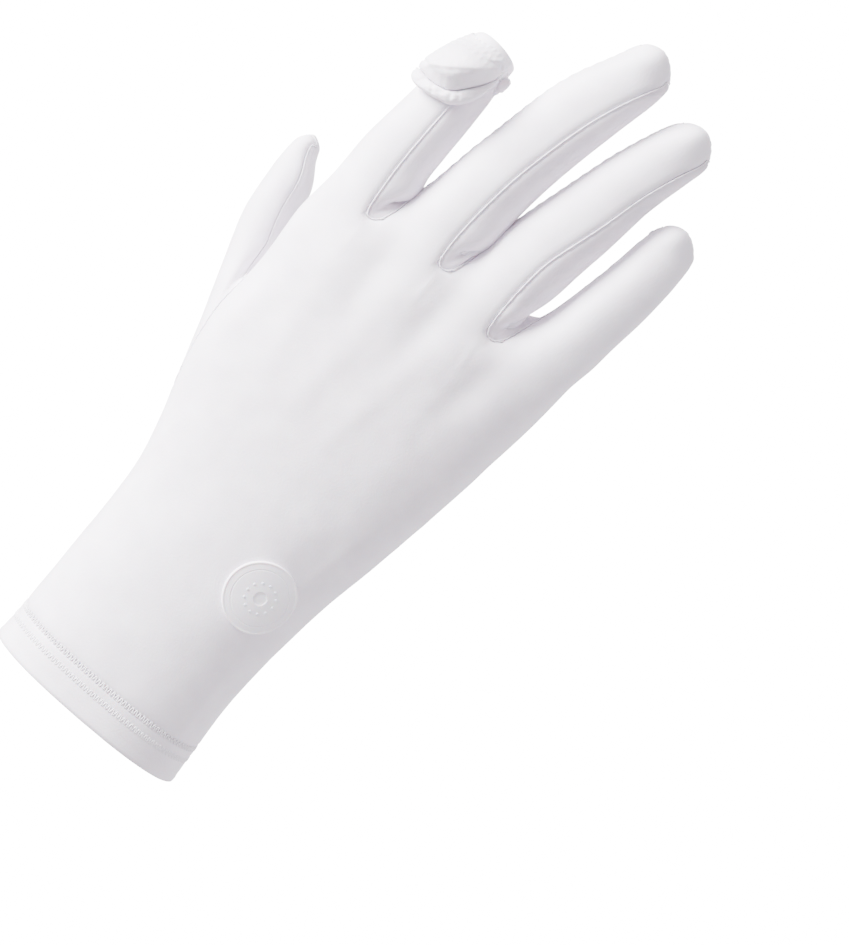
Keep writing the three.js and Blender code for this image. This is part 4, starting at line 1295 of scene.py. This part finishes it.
def badge_mesh(skin):
    """A round badge that follows the cloth, with a raised rim, a fine ring and a circle of dots."""
    turn = turn_at(BADGE_X, BADGE_Z, False)
    centre = body_point(turn, BADGE_Z)
    east = unit(body_point(turn + 2, BADGE_Z) - body_point(turn - 2, BADGE_Z))
    out = unit(np.cross(east, body_point(turn, BADGE_Z + 2) - body_point(turn, BADGE_Z - 2)))
    north = np.cross(out, east)

    def laid(a, b, height):
        start = centre + east * a + north * b + out * 15
        return np.array(skin.tree.ray_cast(Vector(start), Vector(-out))[0]) + out * height

    def circle(radius, height, count):
        turns = [sin_cos(360 * i / count) for i in range(count)]
        return [laid(radius * c, radius * s, height) for s, c in turns]

    bottom, middle = laid(0, 0, 0.05), laid(0, 0, BADGE_THICK - BADGE_RECESS)
    points, faces = [bottom, middle], []
    for inset, above in BADGE_PROFILE:
        points += circle(BADGE_RADIUS - inset, BADGE_THICK + above, BADGE_SIDES)
    starts = [2 + k * BADGE_SIDES for k in range(len(BADGE_PROFILE))]
    for low, high in zip(starts, starts[1:]):
        faces += tube_faces(low, high, BADGE_SIDES)
    for i in range(BADGE_SIDES):
        j = (i + 1) % BADGE_SIDES
        faces.append((1, starts[-1] + i, starts[-1] + j))
        faces.append((0, 2 + j, 2 + i))
    dots = circle(BADGE_DOT_CIRCLE, BADGE_THICK - 0.02, BADGE_DOTS)
    dots = repeated(bead_shape(8, 6), [(spot, east, out) for spot in dots], BADGE_DOT)
    return joined([(np.array(points), faces), dots])


# Materials

def linear(hex_colour):
    """An sRGB hex colour as linear red, green, blue and alpha."""
    values = [int(hex_colour[i:i + 2], 16) / 255 for i in (1, 3, 5)]
    return [v / 12.92 if v <= 0.04045 else ((v + 0.055) / 1.055) ** 2.4 for v in values] + [1.0]


def add_node(material, kind, settings=None, links=None):
    """Adds a node, sets its properties and sockets, and links sockets from other nodes."""
    tree = material.node_tree
    node = tree.nodes.new(kind)
    for name, value in (settings or {}).items():
        if name in node.inputs:
            node.inputs[name].default_value = value
        else:
            setattr(node, name, value)
    for name, source in (links or {}).items():
        tree.links.new(source, node.inputs[name])
    return node


def link(material, source, socket):
    material.node_tree.links.new(source, socket)


def new_material(name, colour, roughness, settings):
    """A material with its shader set up. Returns the material and the shader."""
    material = bpy.data.materials.new(name)
    material.use_nodes = True
    shader = material.node_tree.nodes["Principled BSDF"]
    shader.inputs["Base Color"].default_value = linear(colour)
    shader.inputs["Roughness"].default_value = roughness
    for socket, value in settings.items():
        shader.inputs[socket].default_value = value
    return material, shader


def shade_between(material, mask, dark, light):
    """A colour that goes from dark to light with the mask."""
    ramp = add_node(material, "ShaderNodeValToRGB", links={"Fac": mask})
    ramp.color_ramp.elements[0].color = linear(dark)
    ramp.color_ramp.elements[1].color = linear(light)
    ramp.color_ramp.elements[0].position = 0.3
    ramp.color_ramp.elements[1].position = 0.7
    return ramp.outputs["Color"]


def knitted_jersey(name, dark, light):
    """Polyamide jersey, fine-gauge weft knit: matt, with a soft bloom where it turns away.

    Its wales are 0.35 mm apart, too fine for the render, so they are drawn 0.6 mm apart.
    """
    wale = 0.6
    lump = 7.0
    material, shader = new_material(name, light, 0.72, {
        "Sheen Weight": 0.25, "Sheen Roughness": 0.45, "Specular IOR Level": 0.3, "IOR": 1.53,
        "Subsurface Weight": 0.12, "Subsurface Scale": 0.002})
    place = add_node(material, "ShaderNodeTexCoord").outputs["Object"]
    grain = add_node(material, "ShaderNodeTexNoise",
                     {"Scale": 1 / (wale * MM), "Detail": 2.0}, {"Vector": place})
    cells = add_node(material, "ShaderNodeTexVoronoi", {"Scale": 1 / (wale * MM)}, {"Vector": place})
    mottle = add_node(material, "ShaderNodeTexNoise",
                      {"Scale": 1 / (lump * MM), "Detail": 3.0}, {"Vector": place})
    colour = shade_between(material, mottle.outputs["Fac"], dark, light)
    link(material, colour, shader.inputs["Base Color"])
    knit = add_node(material, "ShaderNodeMath", {"operation": "ADD"})
    link(material, grain.outputs["Fac"], knit.inputs[0])
    link(material, cells.outputs["Distance"], knit.inputs[1])
    bump = add_node(material, "ShaderNodeBump", {"Strength": 0.22, "Distance": 0.12 * MM},
                    {"Height": knit.outputs["Value"]})
    link(material, bump.outputs["Normal"], shader.inputs["Normal"])
    return material


def spun_thread():
    """Polyester sewing thread, spun: a little brighter than the jersey, with a dry sheen.

    Its plies are 0.25 mm apart.
    """
    ply_pitch = 0.25
    material, shader = new_material("spun_polyester_thread", "#F4F2F6", 0.6, {
        "Sheen Weight": 0.2, "Specular IOR Level": 0.4})
    place = add_node(material, "ShaderNodeTexCoord").outputs["Object"]
    ply = add_node(material, "ShaderNodeTexNoise", {"Scale": 1 / (ply_pitch * MM)}, {"Vector": place})
    colour = shade_between(material, ply.outputs["Fac"], "#E9E5EB", "#FBF8FC")
    link(material, colour, shader.inputs["Base Color"])
    return material


def moulded_silicone(name, dark, light, roughness):
    """Silicone rubber, moulded: smooth and slightly waxy, with a soft highlight.

    Flow marks 1.8 mm wide give it a faint haze.
    """
    flow = 1.8
    material, shader = new_material(name, light, roughness, {
        "IOR": 1.41, "Sheen Weight": 0.3, "Subsurface Weight": 0.2, "Subsurface Scale": 0.0015})
    place = add_node(material, "ShaderNodeTexCoord").outputs["Object"]
    haze = add_node(material, "ShaderNodeTexNoise",
                    {"Scale": 1 / (flow * MM), "Detail": 3.0}, {"Vector": place})
    colour = shade_between(material, haze.outputs["Fac"], dark, light)
    link(material, colour, shader.inputs["Base Color"])
    bump = add_node(material, "ShaderNodeBump", {"Strength": 0.1, "Distance": 0.05 * MM},
                    {"Height": haze.outputs["Fac"]})
    link(material, bump.outputs["Normal"], shader.inputs["Normal"])
    return material


# Glove

skin = Skin()
jersey = knitted_jersey("weft_knit_jersey", "#E9E1EB", "#F3ECF5")
# The side strips between the fingers take a darker copy of the same jersey: painted shade for the
# shade that falls between the fingers.
side_jersey_painted_shade = knitted_jersey("weft_knit_jersey_sides_painted_shade", "#E1D8E4", "#EBE2ED")
thread = spun_thread()
silicone = moulded_silicone("moulded_silicone", "#FBF1FD", "#FFF7FF", 0.55)
print_gel = moulded_silicone("printed_silicone_gel", "#E6E4EA", "#F2F0F5", 0.25)

for name in skin.names:
    hemmed = name in ("cuff_hem", "index_tip_rim")
    wall = HEM_CLOTH if hemmed else CLOTH
    proud = HEM_PROUD if hemmed else 0
    points, faces = cloth_panel(skin, name, proud, wall - proud)
    # The side strips between the fingers take the darker jersey, whose colour is painted shade.
    is_side = name in FOURCHETTES
    piece = add_mesh(f"{name}_cloth", points, faces, side_jersey_painted_shade if is_side else jersey)
    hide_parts(name)
    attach(piece, "root")

for name, (points, faces), material, slot in [
    ("seam_edges", seam_edges(skin), jersey, "jersey"),
    ("seam_stitches", seam_stitches(skin), thread, "jersey"),
    ("hem_stitches", hem_stitches(skin), thread, "jersey"),
    ("opening_stitches", opening_stitches(skin), thread, "jersey"),
    ("rim_stitches", rim_stitches(skin), thread, "jersey"),
    ("grip_dots", grip_dots(skin), print_gel, "badge_rubber"),
    ("fingertip_hood", hood_mesh(skin), jersey, "jersey"),
    ("wrist_badge", badge_mesh(skin), silicone, "badge_rubber"),
]:
    piece = add_mesh(name, points, faces, material)
    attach(piece, "root")
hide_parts("index_tip_hood")
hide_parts("badge")


# Camera: level with the glove's back, 9 degrees above it, with the forearm leaning to the right

ROLL = math.radians(41)
PICTURE_HEIGHT = 245.7   # what the picture takes in at the glove, from its lower to its upper edge
PICTURE_MIDDLE = (26.6, 103.9)
CAMERA_DISTANCE = 5000

right = np.array([1.0, 0, 0])
upward = np.array([0, math.sin(ELEVATION), math.cos(ELEVATION)])
toward = np.array([0, -math.cos(ELEVATION), math.sin(ELEVATION)])
camera_x = right * math.cos(ROLL) + upward * math.sin(ROLL)
camera_y = upward * math.cos(ROLL) - right * math.sin(ROLL)
target = right * PICTURE_MIDDLE[0] + upward * PICTURE_MIDDLE[1]
spot = (target + toward * CAMERA_DISTANCE) * MM

lens = bpy.data.cameras.new("camera")
lens.sensor_fit = "VERTICAL"
lens.sensor_height = 24
lens.lens = lens.sensor_height * CAMERA_DISTANCE / PICTURE_HEIGHT
lens.clip_end = 50
camera = bpy.data.objects.new("camera", lens)
turned = Matrix((camera_x, camera_y, toward)).transposed().to_4x4()
camera.matrix_world = Matrix.Translation(Vector(spot)) @ turned
bpy.context.scene.collection.objects.link(camera)
bpy.context.scene.camera = camera


# Studio

LIGHT_AIM = (0, 0, 0.11)   # metres, the middle of the glove


def soft_light(name, where, size, power, colour):
    light = bpy.data.lights.new(name, "AREA")
    light.shape = "DISK"
    light.size = size
    light.energy = power
    light.color = linear(colour)[:3]
    lamp = bpy.data.objects.new(name, light)
    aim = Vector(LIGHT_AIM) - Vector(where)
    turned = aim.to_track_quat("-Z", "Y").to_matrix().to_4x4()
    lamp.matrix_world = Matrix.Translation(Vector(where)) @ turned
    bpy.context.scene.collection.objects.link(lamp)


soft_light("key_light", (-1.3, -0.5, 0.5), 1.0, 190.0, "#FFFFFF")
soft_light("rim_light", (1.2, 0.35, -0.1), 0.5, 9.0, "#F8F7FF")
soft_light("palm_light", (0.3, 1.3, 0.6), 0.6, 24.0, "#FFFFFF")

world = bpy.data.worlds.new("studio")
world.use_nodes = True
world.node_tree.nodes["Background"].inputs["Color"].default_value = linear("#FFFBFF")
world.node_tree.nodes["Background"].inputs["Strength"].default_value = 1.3
bpy.context.scene.world = world

paper, _ = new_material("backlit_white_paper", "#FBFBFC", 0.9, {
    "Specular IOR Level": 0.1, "Emission Color": (1, 1, 1, 1), "Emission Strength": 16.0})
FLOOR_DROP = -300
FLOOR_HALF = 20000
floor_corners = [(-FLOOR_HALF, -FLOOR_HALF, FLOOR_DROP), (FLOOR_HALF, -FLOOR_HALF, FLOOR_DROP),
                 (FLOOR_HALF, FLOOR_HALF, FLOOR_DROP), (-FLOOR_HALF, FLOOR_HALF, FLOOR_DROP)]
floor = add_mesh("studio_floor", floor_corners, [(0, 1, 2, 3)], paper, smooth=False)
floor.visible_diffuse = False
floor.visible_glossy = False
